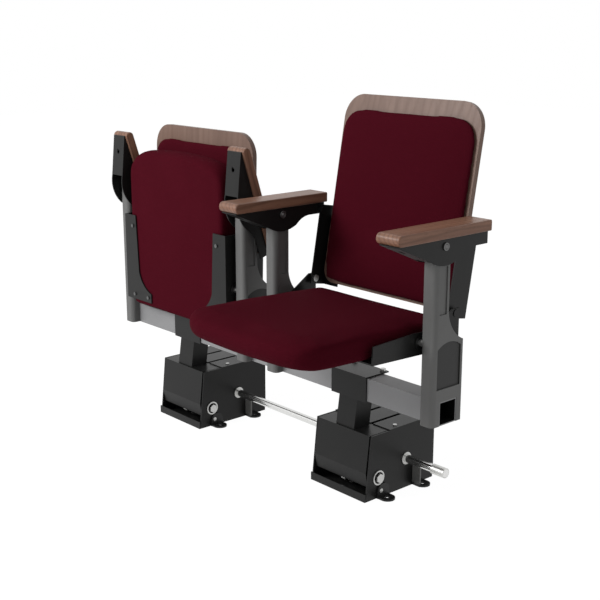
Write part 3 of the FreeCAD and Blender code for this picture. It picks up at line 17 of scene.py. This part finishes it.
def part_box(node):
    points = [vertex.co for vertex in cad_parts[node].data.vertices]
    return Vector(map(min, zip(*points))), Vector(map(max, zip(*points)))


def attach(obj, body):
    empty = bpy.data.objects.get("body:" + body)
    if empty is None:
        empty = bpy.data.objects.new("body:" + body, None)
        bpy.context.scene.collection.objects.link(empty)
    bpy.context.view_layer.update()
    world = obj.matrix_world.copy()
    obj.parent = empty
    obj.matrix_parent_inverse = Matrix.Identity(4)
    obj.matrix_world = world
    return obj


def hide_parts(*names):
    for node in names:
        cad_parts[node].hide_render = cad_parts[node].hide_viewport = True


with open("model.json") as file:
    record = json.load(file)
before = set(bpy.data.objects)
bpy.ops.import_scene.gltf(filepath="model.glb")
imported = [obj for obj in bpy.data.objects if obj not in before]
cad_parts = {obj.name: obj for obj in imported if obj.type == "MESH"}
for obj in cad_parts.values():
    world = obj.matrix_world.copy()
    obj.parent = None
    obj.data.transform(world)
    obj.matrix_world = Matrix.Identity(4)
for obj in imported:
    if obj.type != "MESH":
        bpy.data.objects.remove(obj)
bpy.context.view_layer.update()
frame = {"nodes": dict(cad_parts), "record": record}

scene = bpy.context.scene
nodes = frame["nodes"]

# %% [markdown]
# ## Camera
# The photograph looks at the row from its front right corner, a little above the seats. A long lens keeps
# the posts nearly parallel. The camera could be aimed with a Track To constraint, but plain angles are
# easier to read and to repeat.

# %% Camera
CAMERA_PLACE = (1.9095, -1.658, 1.000)
CAMERA_TILT = 90 - 14.3
CAMERA_TURN = 48.3
LENS = 66.42

camera_data = bpy.data.cameras.new("viewpoint")
camera_data.lens = LENS
camera = bpy.data.objects.new("viewpoint", camera_data)
camera.location = CAMERA_PLACE
camera.rotation_euler = (math.radians(CAMERA_TILT), 0, math.radians(CAMERA_TURN))
scene.collection.objects.link(camera)
scene.camera = camera
print("camera lens", LENS, "mm at", CAMERA_PLACE)

# %% [markdown]
# ## Node maths that reads like maths
# A finish is a small graph of nodes. Adding nodes one by one hides the idea, so a number that changes
# over a surface is wrapped in a class that knows plus, minus, times and the rest: `1 - mask` then adds
# the Math node by itself.

# %% Value
class Value:
    """A socket whose number changes over a surface."""

    def __init__(self, graph, socket):
        self.graph = graph
        self.socket = socket

    def maths(self, operation, *terms):
        return self.graph.add("ShaderNodeMath", {"operation": operation}, dict(enumerate(terms)))

    def __add__(self, other):
        return self.maths("ADD", self, other)

    def __sub__(self, other):
        return self.maths("SUBTRACT", self, other)

    def __rsub__(self, other):
        return self.maths("SUBTRACT", other, self)

    def __mul__(self, other):
        return self.maths("MULTIPLY", self, other)

    def __pow__(self, other):
        return self.maths("POWER", self, other)

    def __abs__(self):
        return self.maths("ABSOLUTE", self)

    __radd__ = __add__
    __rmul__ = __mul__

    def sine(self):
        return self.maths("SINE", self)

    def step(self, low, high):
        """From 0 below low to 1 above high, with soft ends."""
        settings = {"interpolation_type": "SMOOTHSTEP"}
        return self.graph.add("ShaderNodeMapRange", settings,
                              {"Value": self, "From Min": low, "From Max": high})


print("node maths ready")

# %% [markdown]
# ## Graphs and finishes
# Every other node comes from one method, `add`, which takes the type, then the settings, then what goes
# into the sockets. The world has nodes too, so the plain graph is a class of its own, and a finish is a
# graph with one shader and a few short names for the nodes that are used most.

# %% Graph and Finish
class Graph:
    """The nodes of a material or of the world."""

    def __init__(self, owner):
        owner.use_nodes = True
        self.tree = owner.node_tree

    def add(self, kind, settings, inputs, output=0):
        node = self.tree.nodes.new(kind)
        for name, setting in settings.items():
            setattr(node, name, setting)
        for socket, given in inputs.items():
            self.connect(node.inputs[socket], given)
        return Value(self, node.outputs[output])

    def connect(self, socket, given):
        if isinstance(given, Value):
            self.tree.links.new(given.socket, socket)
        else:
            socket.default_value = given


class Finish(Graph):
    """A material with one shader. Numbers that are the same all over go straight into its sockets."""

    def __init__(self, name, **constants):
        self.material = bpy.data.materials.new(name)
        super().__init__(self.material)
        self.shader = self.tree.nodes["Principled BSDF"]
        self.feed(**constants)

    def feed(self, **inputs):
        for socket, given in inputs.items():
            self.connect(self.shader.inputs[socket.replace("_", " ")], given)

    def cover(self, mask, colour):
        """Lay a colour over the one that is there, where the mask is 1."""
        socket = self.shader.inputs["Base Color"]
        below = Value(self, socket.links[0].from_socket)
        self.feed(Base_Color=self.mix(mask, below, colour))

    def where(self, output="Object"):
        return self.add("ShaderNodeTexCoord", {}, {}, output)

    def turned(self, vector, turn=(0, 0, 0), scale=(1, 1, 1)):
        return self.add("ShaderNodeMapping", {}, {"Vector": vector, "Rotation": turn, "Scale": scale})

    def parts(self, vector):
        """The three numbers of a place."""
        return [self.add("ShaderNodeSeparateXYZ", {}, {0: vector}, axis) for axis in range(3)]

    def noise(self, vector, scale, detail=2.0, rough=0.5):
        return self.add("ShaderNodeTexNoise", {},
                        {"Vector": vector, "Scale": scale, "Detail": detail, "Roughness": rough})

    def mix(self, factor, first, second):
        """A colour between two others."""
        settings = {"data_type": "RGBA"}
        return self.add("ShaderNodeMix", settings, {0: factor, 6: first, 7: second}, 2)

    def bump(self, height, strength, distance):
        inputs = {"Height": height, "Strength": strength, "Distance": distance}
        self.feed(Normal=self.add("ShaderNodeBump", {}, inputs))


def paint(red, green, blue):
    """A colour as a socket takes it."""
    return (red, green, blue, 1.0)


print("graphs and finishes ready")

# %% [markdown]
# ## Black powder coat
# The boxes, saddles, brackets and legs are folded sheet with baked-on black powder. Powder flows out
# into a faint orange peel. A plain black with a fixed gloss would look like plastic, so fine noise bends
# the light, and a slow cloud of noise changes the gloss where hands and shoes have rubbed.

# %% Powder coat
def powder_coat(name, colour, dusty):
    finish = Finish(name, Specular_IOR_Level=0.2)
    place = finish.where()
    peel = finish.noise(place, scale=620)
    cloud = finish.noise(place, scale=11, detail=5, rough=0.6)
    strokes = finish.turned(place, scale=(90, 90, 14))
    scuff = finish.noise(strokes, scale=1.4, detail=3).step(0.62, 0.8)
    dust = cloud.step(0.45, 0.85) * 0.6 + scuff * 0.25
    finish.feed(Base_Color=finish.mix(dust, colour, dusty),
                Roughness=0.28 + cloud * 0.1 + scuff * 0.08 + peel * 0.05)
    finish.bump(peel, strength=0.16, distance=0.0004)
    return finish.material


black_coat = powder_coat("black_powder_coat", colour=paint(0.0085, 0.0085, 0.0084),
                         dusty=paint(0.017, 0.0167, 0.0154))
print("made", black_coat.name)

# %% [markdown]
# ## Grey castings and beam
# The posts are cast and sprayed a satin metallic grey, and the beam is a lighter grey tube. Both carry
# very small flakes, so part of the light comes back as from metal. The casting also has a slight
# unevenness from its mould, which the drawn tube hardly has.

# %% Grey paint
FLAKE_SHADE = 0.72


def grey_paint(name, colour, metallic, uneven):
    finish = Finish(name, Metallic=metallic, Specular_IOR_Level=0.3)
    place = finish.where()
    flake = finish.noise(place, scale=1500, detail=1)
    skin = finish.noise(place, scale=160, detail=3)
    cloud = finish.noise(place, scale=7, detail=4, rough=0.6)
    darker = paint(*(channel * FLAKE_SHADE for channel in colour[:3]))
    shade = flake * 0.3 + cloud.step(0.35, 0.8) * 0.35
    finish.feed(Base_Color=finish.mix(shade, colour, darker),
                Roughness=0.36 + cloud * 0.1 + flake * 0.06)
    finish.bump(skin, strength=uneven, distance=0.0006)
    return finish


post_grey = grey_paint("post_grey", paint(0.135, 0.135, 0.133), metallic=0.12, uneven=0.22)
beam_grey = grey_paint("beam_grey", paint(0.27, 0.27, 0.275), metallic=0.25, uneven=0.06)
print("made", post_grey.material.name, "and", beam_grey.material.name)

# %% [markdown]
# ## Dark pockets and the bore of the beam
# The lower side pockets of the castings are darker inside, and the inside of the bore gets painted shade
# in near black. Cutting those faces out as pieces of their own would leave seams, so they are found by
# their place: a mask is 1 inside the pocket or the bore, and each pair of numbers below is where its soft
# edge starts and ends.

# %% Darken the pockets and the bore
CHAIR_OFFSET = 0.2925
POST_OFFSET = 0.237
POCKET_HALF = (0.0163, 0.0176)
POCKET_FRONT = (-0.0868, -0.0858)
POCKET_LOW = (0.2885, 0.2895)
POCKET_TOP = (0.437, 0.439)
BEAM_ACROSS = -0.050
BEAM_HEIGHT = 0.2375
BORE_HALF = (0.0225, 0.0231)

along, across, height = post_grey.parts(post_grey.where())
from_post_middle = abs(abs(abs(along) - CHAIR_OFFSET) - POST_OFFSET)
pocket_height = height.step(*POCKET_LOW) * (1 - height.step(*POCKET_TOP))
pocket = (1 - from_post_middle.step(*POCKET_HALF)) * across.step(*POCKET_FRONT) * pocket_height
post_grey.cover(pocket, paint(0.02, 0.02, 0.0198))

across, height = beam_grey.parts(beam_grey.where())[1:]
bore_width = 1 - abs(across - BEAM_ACROSS).step(*BORE_HALF)
bore_height = 1 - abs(height - BEAM_HEIGHT).step(*BORE_HALF)
# painted shade: the inside of the bore is coloured near black
beam_grey.cover(bore_width * bore_height, paint(0.003, 0.003, 0.003))
print("darkened the pockets of", post_grey.material.name, "and the bore of", beam_grey.material.name)

# %% [markdown]
# ## Bare metal
# Rings, hexagon ends, bearings, stop arms, box screws and back bolts are zinc plated, the arm bolts and
# seat screws are blackened, and the drive shaft is drawn bright. All are metals, so their colour is their
# reflection; the difference is how rough they are and which way the turning or drawing marks run.

# %% Metals
def bare_metal(name, colour, stain, rough, marks):
    finish = Finish(name, Metallic=1.0)
    place = finish.where()
    lines = finish.noise(finish.turned(place, scale=marks), scale=1.0, detail=3)
    spots = finish.noise(place, scale=140, detail=4, rough=0.65)
    finish.feed(Base_Color=finish.mix(spots.step(0.5, 0.8) * 0.5, colour, stain),
                Roughness=rough + lines * 0.12 + spots * 0.08)
    finish.bump(lines, strength=0.06, distance=0.0002)
    return finish.material


ALL_ROUND = (600, 600, 600)
ALONG_ROW = (30, 1600, 1600)
bright_zinc = bare_metal("bright_zinc", paint(0.48, 0.48, 0.47), paint(0.3, 0.3, 0.29),
                         rough=0.24, marks=ALL_ROUND)
dark_steel = bare_metal("blackened_steel", paint(0.13, 0.13, 0.13), paint(0.07, 0.068, 0.065),
                        rough=0.3, marks=ALL_ROUND)
shaft_chrome = bare_metal("shaft_chrome", paint(0.7, 0.7, 0.69), paint(0.52, 0.52, 0.5),
                          rough=0.06, marks=ALONG_ROW)
sleeve_metal = bare_metal("sleeve_metal", paint(0.62, 0.62, 0.6), paint(0.5, 0.5, 0.48),
                          rough=0.3, marks=ALONG_ROW)
print("made", bright_zinc.name, dark_steel.name, shaft_chrome.name, sleeve_metal.name)

# %% [markdown]
# ## Walnut
# Arm caps are solid walnut and the backs are veneered plywood. Grain is a stretched pattern: growth
# rings cut lengthwise become long wavy bands, and pores become short dark dashes along them. An image
# would show it too, but a pattern on object coordinates runs through the edges like real wood. Each
# piece turns the pattern so that it follows the way the plank was cut.

# %% Walnut
RING_WAVES = 520


def walnut(name, turn, figure, pale, middle, dark):
    finish = Finish(name, Specular_IOR_Level=0.22, Coat_Roughness=0.3)
    plank = finish.turned(finish.where(), turn)
    sway = finish.noise(finish.turned(plank, scale=(3, 14, 14)), scale=1.0, detail=3)
    across_plank, through_plank = finish.parts(plank)[1:]
    ring = across_plank + through_plank * 0.55 + sway * 0.035
    bands = (ring * RING_WAVES).sine() * 0.5 + 0.5
    wide = finish.noise(finish.turned(plank, scale=(2.2, 38, 38)), scale=1.0, detail=4, rough=0.6)
    pores = finish.noise(finish.turned(plank, scale=(55, 1100, 1100)), scale=1.0).step(0.58, 0.72)
    body = finish.mix(wide.step(0.3, 0.72), middle, pale)
    lined = finish.mix(bands ** 3 * figure, body, dark)
    finish.feed(Base_Color=finish.mix(pores * figure, lined, dark),
                Roughness=0.36 + bands * 0.06 + pores * 0.16,
                Coat_Weight=0.1 - pores * 0.08)
    finish.bump(1 - pores, strength=0.12, distance=0.0003)
    return finish.material


WALNUT = (0.42, paint(0.29, 0.15, 0.096), paint(0.185, 0.09, 0.058), paint(0.07, 0.032, 0.02))
VENEER = (0.2, paint(0.2, 0.125, 0.096), paint(0.158, 0.094, 0.071), paint(0.085, 0.048, 0.035))
QUARTER_TURN = math.radians(90)
FOLDED_ARM = math.radians(72.5)
arm_walnut = walnut("arm_walnut", (0, 0, QUARTER_TURN), *WALNUT)
folded_walnut = walnut("folded_arm_walnut", (FOLDED_ARM, 0, QUARTER_TURN), *WALNUT)
back_veneer = walnut("back_veneer", (0, QUARTER_TURN, 0), *VENEER)
print("made", arm_walnut.name, folded_walnut.name, back_veneer.name)

# %% [markdown]
# ## Wine red fabric
# The covers are a tight plain weave in dark wine red. Threads run both ways, so two rows of soft waves
# are multiplied: the product is high on the threads and low in the gaps. The pattern is laid on from
# the three directions and blended by the way each spot faces, which keeps the threads the same size on
# the top, the nose and the sides. A little sheen stands for the loose fibres that catch the light.

# %% Fabric
THREADS_PER_METRE = 620


def weave(first, second):
    """Crossing threads seen along one direction: 1 on top of a thread, 0 in the gaps."""
    waves = THREADS_PER_METRE * math.pi
    return abs((first * waves).sine() * (second * waves).sine()) ** 0.6


def fabric(name, thread, shadow, lint):
    finish = Finish(name, Specular_IOR_Level=0.01, Sheen_Weight=0.015, Sheen_Roughness=0.45,
                    Sheen_Tint=paint(0.75, 0.25, 0.3))
    place = finish.where()
    x, y, z = finish.parts(place)
    facing_x, facing_y, facing_z = [abs(part) ** 2 for part in finish.parts(finish.where("Normal"))]
    threads = weave(y, z) * facing_x + weave(x, z) * facing_y + weave(x, y) * facing_z
    slub = finish.noise(place, scale=330, detail=3, rough=0.6)
    patch = finish.noise(place, scale=5, detail=3)
    cover = finish.mix(threads, shadow, thread)
    fluff = slub.step(0.55, 0.8) * 0.5 + patch.step(0.5, 0.9) * 0.16
    finish.feed(Base_Color=finish.mix(fluff, cover, lint), Roughness=0.86 - threads * 0.14)
    finish.bump(threads + slub * 0.6, strength=0.45, distance=0.0007)
    return finish.material


wine_fabric = fabric("wine_fabric", thread=paint(0.076, 0.0052, 0.0122),
                     shadow=paint(0.036, 0.002, 0.0052), lint=paint(0.1, 0.0085, 0.0175))
print("made", wine_fabric.name)

# %% [markdown]
# ## Rear feet
# The upright webs of the rear feet are bare on their faces, while the lugs are coated like the boxes.
# One material does both: it turns from black to pale grey above the lug and behind the middle of the box.

# %% Feet
WEB_FRONT = (0.030, 0.031)
LUG_TOP = (0.005, 0.007)
feet_finish = Finish("coated_feet", Specular_IOR_Level=0.3)
across, height = feet_finish.parts(feet_finish.where())[1:]
grime = feet_finish.noise(feet_finish.where(), scale=60, detail=4, rough=0.6)
web = across.step(*WEB_FRONT) * height.step(*LUG_TOP)
bare = feet_finish.mix(grime, paint(0.2, 0.2, 0.195), paint(0.13, 0.13, 0.125))
feet_finish.feed(Base_Color=feet_finish.mix(web, paint(0.0095, 0.0096, 0.0096), bare),
                 Roughness=0.34 + grime * 0.14)
coated_feet = feet_finish.material
print("made", coated_feet.name)

# %% [markdown]
# ## Dressing the rigid pieces
# The record already says which finish slot each node has. A table from slot to material does most of the
# work, and a few nodes that share a slot but look different on the real seat are named one by one.

# %% Dress the nodes
BY_SLOT = {
    "black_sheet": black_coat,
    "grey_casting": post_grey.material,
    "bright_hardware": bright_zinc,
    "dark_hardware": dark_steel,
    "chrome": shaft_chrome,
    "walnut": arm_walnut,
    "red_fabric": wine_fabric,
}
BY_NODE = {
    "beam": beam_grey.material,
    "floor_feet": coated_feet,
    "left_outer_arm_cap": folded_walnut,
    "left_inner_arm_cap": folded_walnut,
    "left_back_panel": back_veneer,
    "right_back_panel": back_veneer,
    "left_back_bolts": bright_zinc,
    "right_back_bolts": bright_zinc,
}
for row in frame["record"]["subparts"]:
    name = row["node"]
    dress = BY_NODE.get(name, BY_SLOT[row["material_slot"]])
    for slot in nodes[name].material_slots:
        slot.material = dress

# %% [markdown]
# ## Turned hardware
# Bolt heads and the sleeve come off a lathe, so they are spun the same way: half of the outline is drawn
# once and swept round the axis. The drawing keeps them as plain cylinders; here each head gets a
# chamfered rim and a domed centre, and the sleeve gets broken edges that catch the light. An outline is
# a row of pairs: how far along the axis, and how far from it.

# %% Lathe
TURN_STEPS = 40
SAME_POINT = 0.000001


def lathe(name, outline, centres, metal):
    """One object made of the same outline spun about several points, on axes along the row."""
    form = bmesh.new()
    for x, y, z in centres:
        points = [form.verts.new((x + along, y, z + radius)) for along, radius in outline]
        edges = [form.edges.new(pair) for pair in zip(points, points[1:])]
        bmesh.ops.spin(form, geom=points + edges, cent=(x, y, z), axis=(1, 0, 0), angle=math.tau,
                       steps=TURN_STEPS, use_merge=True)
    bmesh.ops.remove_doubles(form, verts=form.verts, dist=SAME_POINT)
    bmesh.ops.recalc_face_normals(form, faces=form.faces)
    mesh = bpy.data.meshes.new(name)
    form.to_mesh(mesh)
    form.free()
    mesh.materials.append(metal)
    thing = bpy.data.objects.new(name, mesh)
    scene.collection.objects.link(thing)
    return thing


print("lathe ready, with", TURN_STEPS, "steps a turn")

# %% [markdown]
# ## Bolts and sleeve
# One bolt goes through the top of each post, and its heads show on both sides, so both heads and the
# shank between them are one outline. The low domes are separate shells that sit on the heads.

# %% Spin the bolts and the sleeve
ARM_PIVOT = (-0.079, 0.579)
SHAFT_AXIS = (0.0162, 0.06903)
SIDES = (-1, 1)
HEAD_OUTLINE = [(-0.0266, 0.0), (-0.0266, 0.0046), (-0.0274, 0.0052), (-0.0274, 0.0074),
                (-0.0268, 0.0080), (-0.0244, 0.0080), (-0.0244, 0.0060), (0.0244, 0.0060),
                (0.0244, 0.0080), (0.0268, 0.0080), (0.0274, 0.0074), (0.0274, 0.0052),
                (0.0266, 0.0046), (0.0266, 0.0)]
DOME_OUTLINE = [(0.0266, 0.0045), (0.0275, 0.0038), (0.0281, 0.0020), (0.0282, 0.0)]
SLEEVE_OUTLINE = [(0.457, 0.0091), (0.457, 0.0102), (0.4578, 0.0110), (0.4922, 0.0110),
                  (0.493, 0.0102), (0.493, 0.0091), (0.457, 0.0091)]

post_places = [chair * CHAIR_OFFSET + post * POST_OFFSET for chair in SIDES for post in SIDES]
arm_centres = [(place, *ARM_PIVOT) for place in post_places]
heads = lathe("arm_bolt_heads", HEAD_OUTLINE, arm_centres, dark_steel)
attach(heads, "row")
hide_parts("arm_pivot_bolts")
for hand, name in ((1, "right_bolt_domes"), (-1, "left_bolt_domes")):
    outline = [(hand * along, radius) for along, radius in DOME_OUTLINE]
    domes = lathe(name, outline, arm_centres, dark_steel)
    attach(domes, "row")

sleeve = lathe("shaft_sleeve", SLEEVE_OUTLINE, [(0, *SHAFT_AXIS)], sleeve_metal)
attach(sleeve, "shaft")
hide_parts("shaft_coupling")
print("spun", heads.name, "and", sleeve.name)

# %% [markdown]
# ## Cushions in even squares
# Foam under a stretched cover swells most in the middle and is held where it is glued or stapled.
# Pushing points by hand can copy that, but a short cloth simulation does it for free. Cloth needs even
# squares, and the drawn cushion is made of long thin triangles, so a copy of it is closed and remeshed.

# %% Even squares
VOXEL = 0.005
OPEN_SEAM = 0.00002


def evaluated_mesh(thing):
    """The mesh of an object with its modifiers applied."""
    depsgraph = bpy.context.evaluated_depsgraph_get()
    return bpy.data.meshes.new_from_object(thing.evaluated_get(depsgraph))


def even_squares(name, node):
    """A closed copy of a node in even squares."""
    thing = bpy.data.objects.new(name, nodes[node].data.copy())
    scene.collection.objects.link(thing)
    shell = bmesh.new()
    shell.from_mesh(thing.data)
    bmesh.ops.remove_doubles(shell, verts=shell.verts, dist=OPEN_SEAM)
    bmesh.ops.recalc_face_normals(shell, faces=shell.faces)
    shell.to_mesh(thing.data)
    shell.free()
    remesh = thing.modifiers.new("squares", "REMESH")
    remesh.mode = "VOXEL"
    remesh.voxel_size = VOXEL
    thing.data = evaluated_mesh(thing)
    thing.modifiers.clear()
    return thing


seat = even_squares("right_seat_pad", "right_seat_cushion")
back = even_squares("right_back_pad", "right_back_cushion")
print("squares:", len(seat.data.polygons), "on the seat,", len(back.data.polygons), "on the back")

# %% [markdown]
# ## Swelling the cushions
# The free face is first drawn in by a few millimetres, because air pressure pushes it out again. The
# resting side and the rim are pinned, and the movement is capped so that the cushion stays in the space
# that the drawing gives it.

# %% Air pressure
FREE_FACE = 0.35
DRAW_IN = 0.003
MOST_SWELL = 0.0045
PRESSURE = 4.0
LAST_FRAME = 20
RECLINE = math.radians(10)
DOWN = Vector((0, 0, -1))
REARWARDS = Vector((0, math.cos(RECLINE), -math.sin(RECLINE)))


def shrink(thing, resting):
    """Draw the free face of a cushion in, and list the points that stay where they are."""
    form = bmesh.new()
    form.from_mesh(thing.data)
    form.normal_update()
    held = []
    for vert in form.verts:
        facing = -vert.normal.dot(resting)
        if facing < FREE_FACE:
            held.append(vert.index)
        else:
            vert.co += resting * (DRAW_IN * (facing - FREE_FACE) / (1 - FREE_FACE))
    form.to_mesh(thing.data)
    form.free()
    return held


def blow_up(thing, held):
    """Fill a cushion with air, hold its resting side, and cap how far a point may go."""
    pins = thing.vertex_groups.new(name="resting_side")
    pins.add(held, 1.0, "REPLACE")
    cloth = thing.modifiers.new("cover", "CLOTH")
    cloth.settings.quality = 6
    cloth.settings.mass = 0.3
    cloth.settings.tension_stiffness = 20
    cloth.settings.compression_stiffness = 20
    cloth.settings.bending_stiffness = 8
    cloth.settings.use_pressure = True
    cloth.settings.uniform_pressure_force = PRESSURE
    cloth.settings.vertex_group_mass = pins.name
    cloth.settings.effector_weights.gravity = 0
    for moment in range(1, LAST_FRAME + 1):
        scene.frame_set(moment)
    blown = evaluated_mesh(thing)
    for start, end in zip(thing.data.vertices, blown.vertices):
        move = end.co - start.co
        if move.length > MOST_SWELL:
            move *= MOST_SWELL / move.length
        start.co += move
    thing.modifiers.clear()
    scene.frame_set(1)


seat_held = shrink(seat, DOWN)
back_held = shrink(back, REARWARDS)
blow_up(seat, seat_held)
blow_up(back, back_held)
print("held points:", len(seat_held), "on the seat,", len(back_held), "on the back")

# %% [markdown]
# ## Smoothing the covers
# A tight cover has no small ripples, and its rim is one clean curve, so the free face and then all of the
# cushion are smoothed. Smoothing rounds the corners too, and the lower corners of the real back are fairly
# square, so points near them move out again along their radius.

# %% Ease and square off
EASE_TURNS = 12
RIM_TURNS = 4
CORNER_FILL = 0.6
PAD_CORNER = 0.050
PAD_HALF_WIDTH = 0.189
PAD_BOTTOM = -0.161
NO_REACH = 0.001
BACK_PIVOT = Vector((0, 0.034, 0.578))
UPWARDS = Vector((0, math.sin(RECLINE), math.cos(RECLINE)))


def ease(thing, held):
    """Take small ripples out of the free face, and the steps of the squares out of the rim."""
    kept = set(held)
    form = bmesh.new()
    form.from_mesh(thing.data)
    free = [vert for vert in form.verts if vert.index not in kept]
    for chosen, turns in ((free, EASE_TURNS), (form.verts[:], RIM_TURNS)):
        for turn in range(turns):
            bmesh.ops.smooth_vert(form, verts=chosen, factor=0.5, use_axis_x=True, use_axis_y=True,
                                  use_axis_z=True)
    form.to_mesh(thing.data)
    form.free()


def square_off(thing):
    """Fill the lower corners of the open back cushion."""
    form = bmesh.new()
    form.from_mesh(thing.data)
    for vert in form.verts:
        aside = abs(vert.co.x - CHAIR_OFFSET) - (PAD_HALF_WIDTH - PAD_CORNER)
        under = (PAD_BOTTOM + PAD_CORNER) - (vert.co - BACK_PIVOT).dot(UPWARDS)
        reach = math.hypot(aside, under)
        if aside <= 0 or under <= 0 or reach < NO_REACH:
            continue
        fill = CORNER_FILL * (reach / max(aside, under) - 1)
        vert.co.x += math.copysign(aside * fill, vert.co.x - CHAIR_OFFSET)
        vert.co -= UPWARDS * (under * fill)
    form.to_mesh(thing.data)
    form.free()


ease(seat, seat_held)
ease(back, back_held)
square_off(back)
print("eased", seat.name, "and", back.name)

# %% [markdown]
# ## The folded chair
# Both chairs have the same cushions. Blowing them up twice would double the waiting and could give two
# different results, so the finished ones are copied and turned about the hinges of the folded chair.

# %% Copy and fold
SEAT_HINGE = Vector((0, -0.088, 0.380))
FOLDED_PIVOT = Vector((0, -0.0460, 0.4709))
TO_LEFT_CHAIR = Vector((-2 * CHAIR_OFFSET, 0, 0))
SEAT_FOLD = math.radians(-88)
BACK_FOLD = math.radians(8.5)


def folded_copy(thing, name, pivot, folded_pivot, turn):
    """The same cushion on the folded chair."""
    twin = bpy.data.objects.new(name, thing.data.copy())
    scene.collection.objects.link(twin)
    fold = (Matrix.Translation(folded_pivot + TO_LEFT_CHAIR) @ Matrix.Rotation(turn, 4, "X")
            @ Matrix.Translation(-pivot))
    twin.data.transform(fold)
    return twin


folded_seat = folded_copy(seat, "left_seat_pad", SEAT_HINGE, SEAT_HINGE, SEAT_FOLD)
folded_back = folded_copy(back, "left_back_pad", BACK_PIVOT, FOLDED_PIVOT, BACK_FOLD)
print("folded", folded_seat.name, "and", folded_back.name)

# %% [markdown]
# ## Covering the cushions
# Each cushion gets a last subdivision, its fabric and the body that it moves with. It stands for the drawn
# solid, so the two boxes are compared: a cushion that grew too far would show here as a number above zero.

# %% Cover the cushions
SEAT_FILL = 0.8
BACK_FILL = 0.7
MM = 1000


def finish_cushion(thing, node, body):
    """Give a cushion its last smoothness, its cover and its place in the frame."""
    thing.vertex_groups.clear()
    for face in thing.data.polygons:
        face.use_smooth = True
    smooth = thing.modifiers.new("smooth", "SUBSURF")
    smooth.levels = 1
    smooth.render_levels = 1
    thing.data.materials.clear()
    thing.data.materials.append(wine_fabric)
    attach(thing, body)
    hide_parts(node)


def report_fit(thing, node):
    """How far a cushion stands outside its drawn solid, in millimetres."""
    low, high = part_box(node)
    corners = [vert.co for vert in thing.data.vertices]
    under = [MM * (low[axis] - min(corner[axis] for corner in corners)) for axis in range(3)]
    over = [MM * (max(corner[axis] for corner in corners) - high[axis]) for axis in range(3)]
    print(thing.name, "below the drawn box by", [round(mm, 1) for mm in under],
          "above it by", [round(mm, 1) for mm in over])


cushions = (
    (seat, "right_seat", SEAT_FILL),
    (folded_seat, "left_seat", SEAT_FILL),
    (back, "right_back", BACK_FILL),
    (folded_back, "left_back", BACK_FILL),
)
for thing, body, fill in cushions:
    node = f"{body}_cushion"
    finish_cushion(thing, node, body)
    report_fit(thing, node)

# %% [markdown]
# ## Floor
# The photograph stands on pure white with hardly a shadow. More light on the scene would wash out the
# seat, so the floor is a plain sheet that shows white to the camera and to shiny metal, and keeps a
# little of its own shading so that the feet do not float.

# %% Floor
FLOOR_HALF = 9.0
FLOOR_LEVEL = -0.0006
SHADOW_SHARE = 0.12
GLOW = 1.1


def seen_directly(graph):
    """1 for rays from the camera, from shiny metal or through glass."""
    seen = graph.add("ShaderNodeLightPath", {}, {}, "Is Camera Ray")
    for kind in ("Is Glossy Ray", "Is Transmission Ray"):
        seen = seen.maths("MAXIMUM", seen, graph.add("ShaderNodeLightPath", {}, {}, kind))
    return seen


pale_floor = Finish("pale_floor", Base_Color=paint(0.9, 0.9, 0.9), Roughness=0.9, Specular_IOR_Level=0.0)
white_share = seen_directly(pale_floor) * (1 - SHADOW_SHARE)
shaded = Value(pale_floor, pale_floor.shader.outputs[0])
glow = pale_floor.add("ShaderNodeEmission", {}, {"Strength": GLOW})
blend = pale_floor.add("ShaderNodeMixShader", {}, {0: white_share, 1: shaded, 2: glow})
pale_floor.connect(pale_floor.tree.nodes["Material Output"].inputs["Surface"], blend)

sheet = bmesh.new()
bmesh.ops.create_grid(sheet, x_segments=1, y_segments=1, size=FLOOR_HALF)
bmesh.ops.translate(sheet, verts=sheet.verts, vec=(0, 0, FLOOR_LEVEL))
floor_mesh = bpy.data.meshes.new("floor")
sheet.to_mesh(floor_mesh)
sheet.free()
floor_mesh.materials.append(pale_floor.material)
floor = bpy.data.objects.new("floor", floor_mesh)
scene.collection.objects.link(floor)
print("floor", 2 * FLOOR_HALF, "m wide")

# %% [markdown]
# ## World
# The world does the same as the floor: it is white for what is seen, and has a softer level for the light
# that reaches the seat.

# %% World
AMBIENT = 0.36
WHITE = 1.0
world = bpy.data.worlds.new("white_studio")
scene.world = world
studio = Graph(world)
soft_light = studio.tree.nodes["Background"]
soft_light.inputs["Color"].default_value = paint(1, 1, 1)
strength = studio.add("ShaderNodeMapRange", {},
                      {"Value": seen_directly(studio), "To Min": AMBIENT, "To Max": WHITE})
studio.connect(soft_light.inputs["Strength"], strength)
print("made", world.name)

# %% [markdown]
# ## Lamps
# A large soft lamp high in front of the chairs and to their left does most of the modelling, because in
# the photograph the fronts and tops are brighter than the right-hand sides. A second, weaker one keeps
# the shaded sides readable.

# %% Lamps
AIM = (0, 0, 0.4)


def soft_box(name, place, size, power):
    """A square lamp that looks at the middle of the row."""
    data = bpy.data.lights.new(name, "AREA")
    data.size = size
    data.energy = power
    lamp = bpy.data.objects.new(name, data)
    lamp.location = place
    aim = Vector(AIM) - Vector(place)
    lamp.rotation_euler = aim.to_track_quat("-Z", "Y").to_euler()
    scene.collection.objects.link(lamp)


soft_box("key_lamp", place=(-1.5, -2.8, 2.2), size=1.5, power=105)
soft_box("side_lamp", place=(2.8, 0.6, 1.7), size=1.4, power=5)
scene.view_settings.view_transform = "Standard"
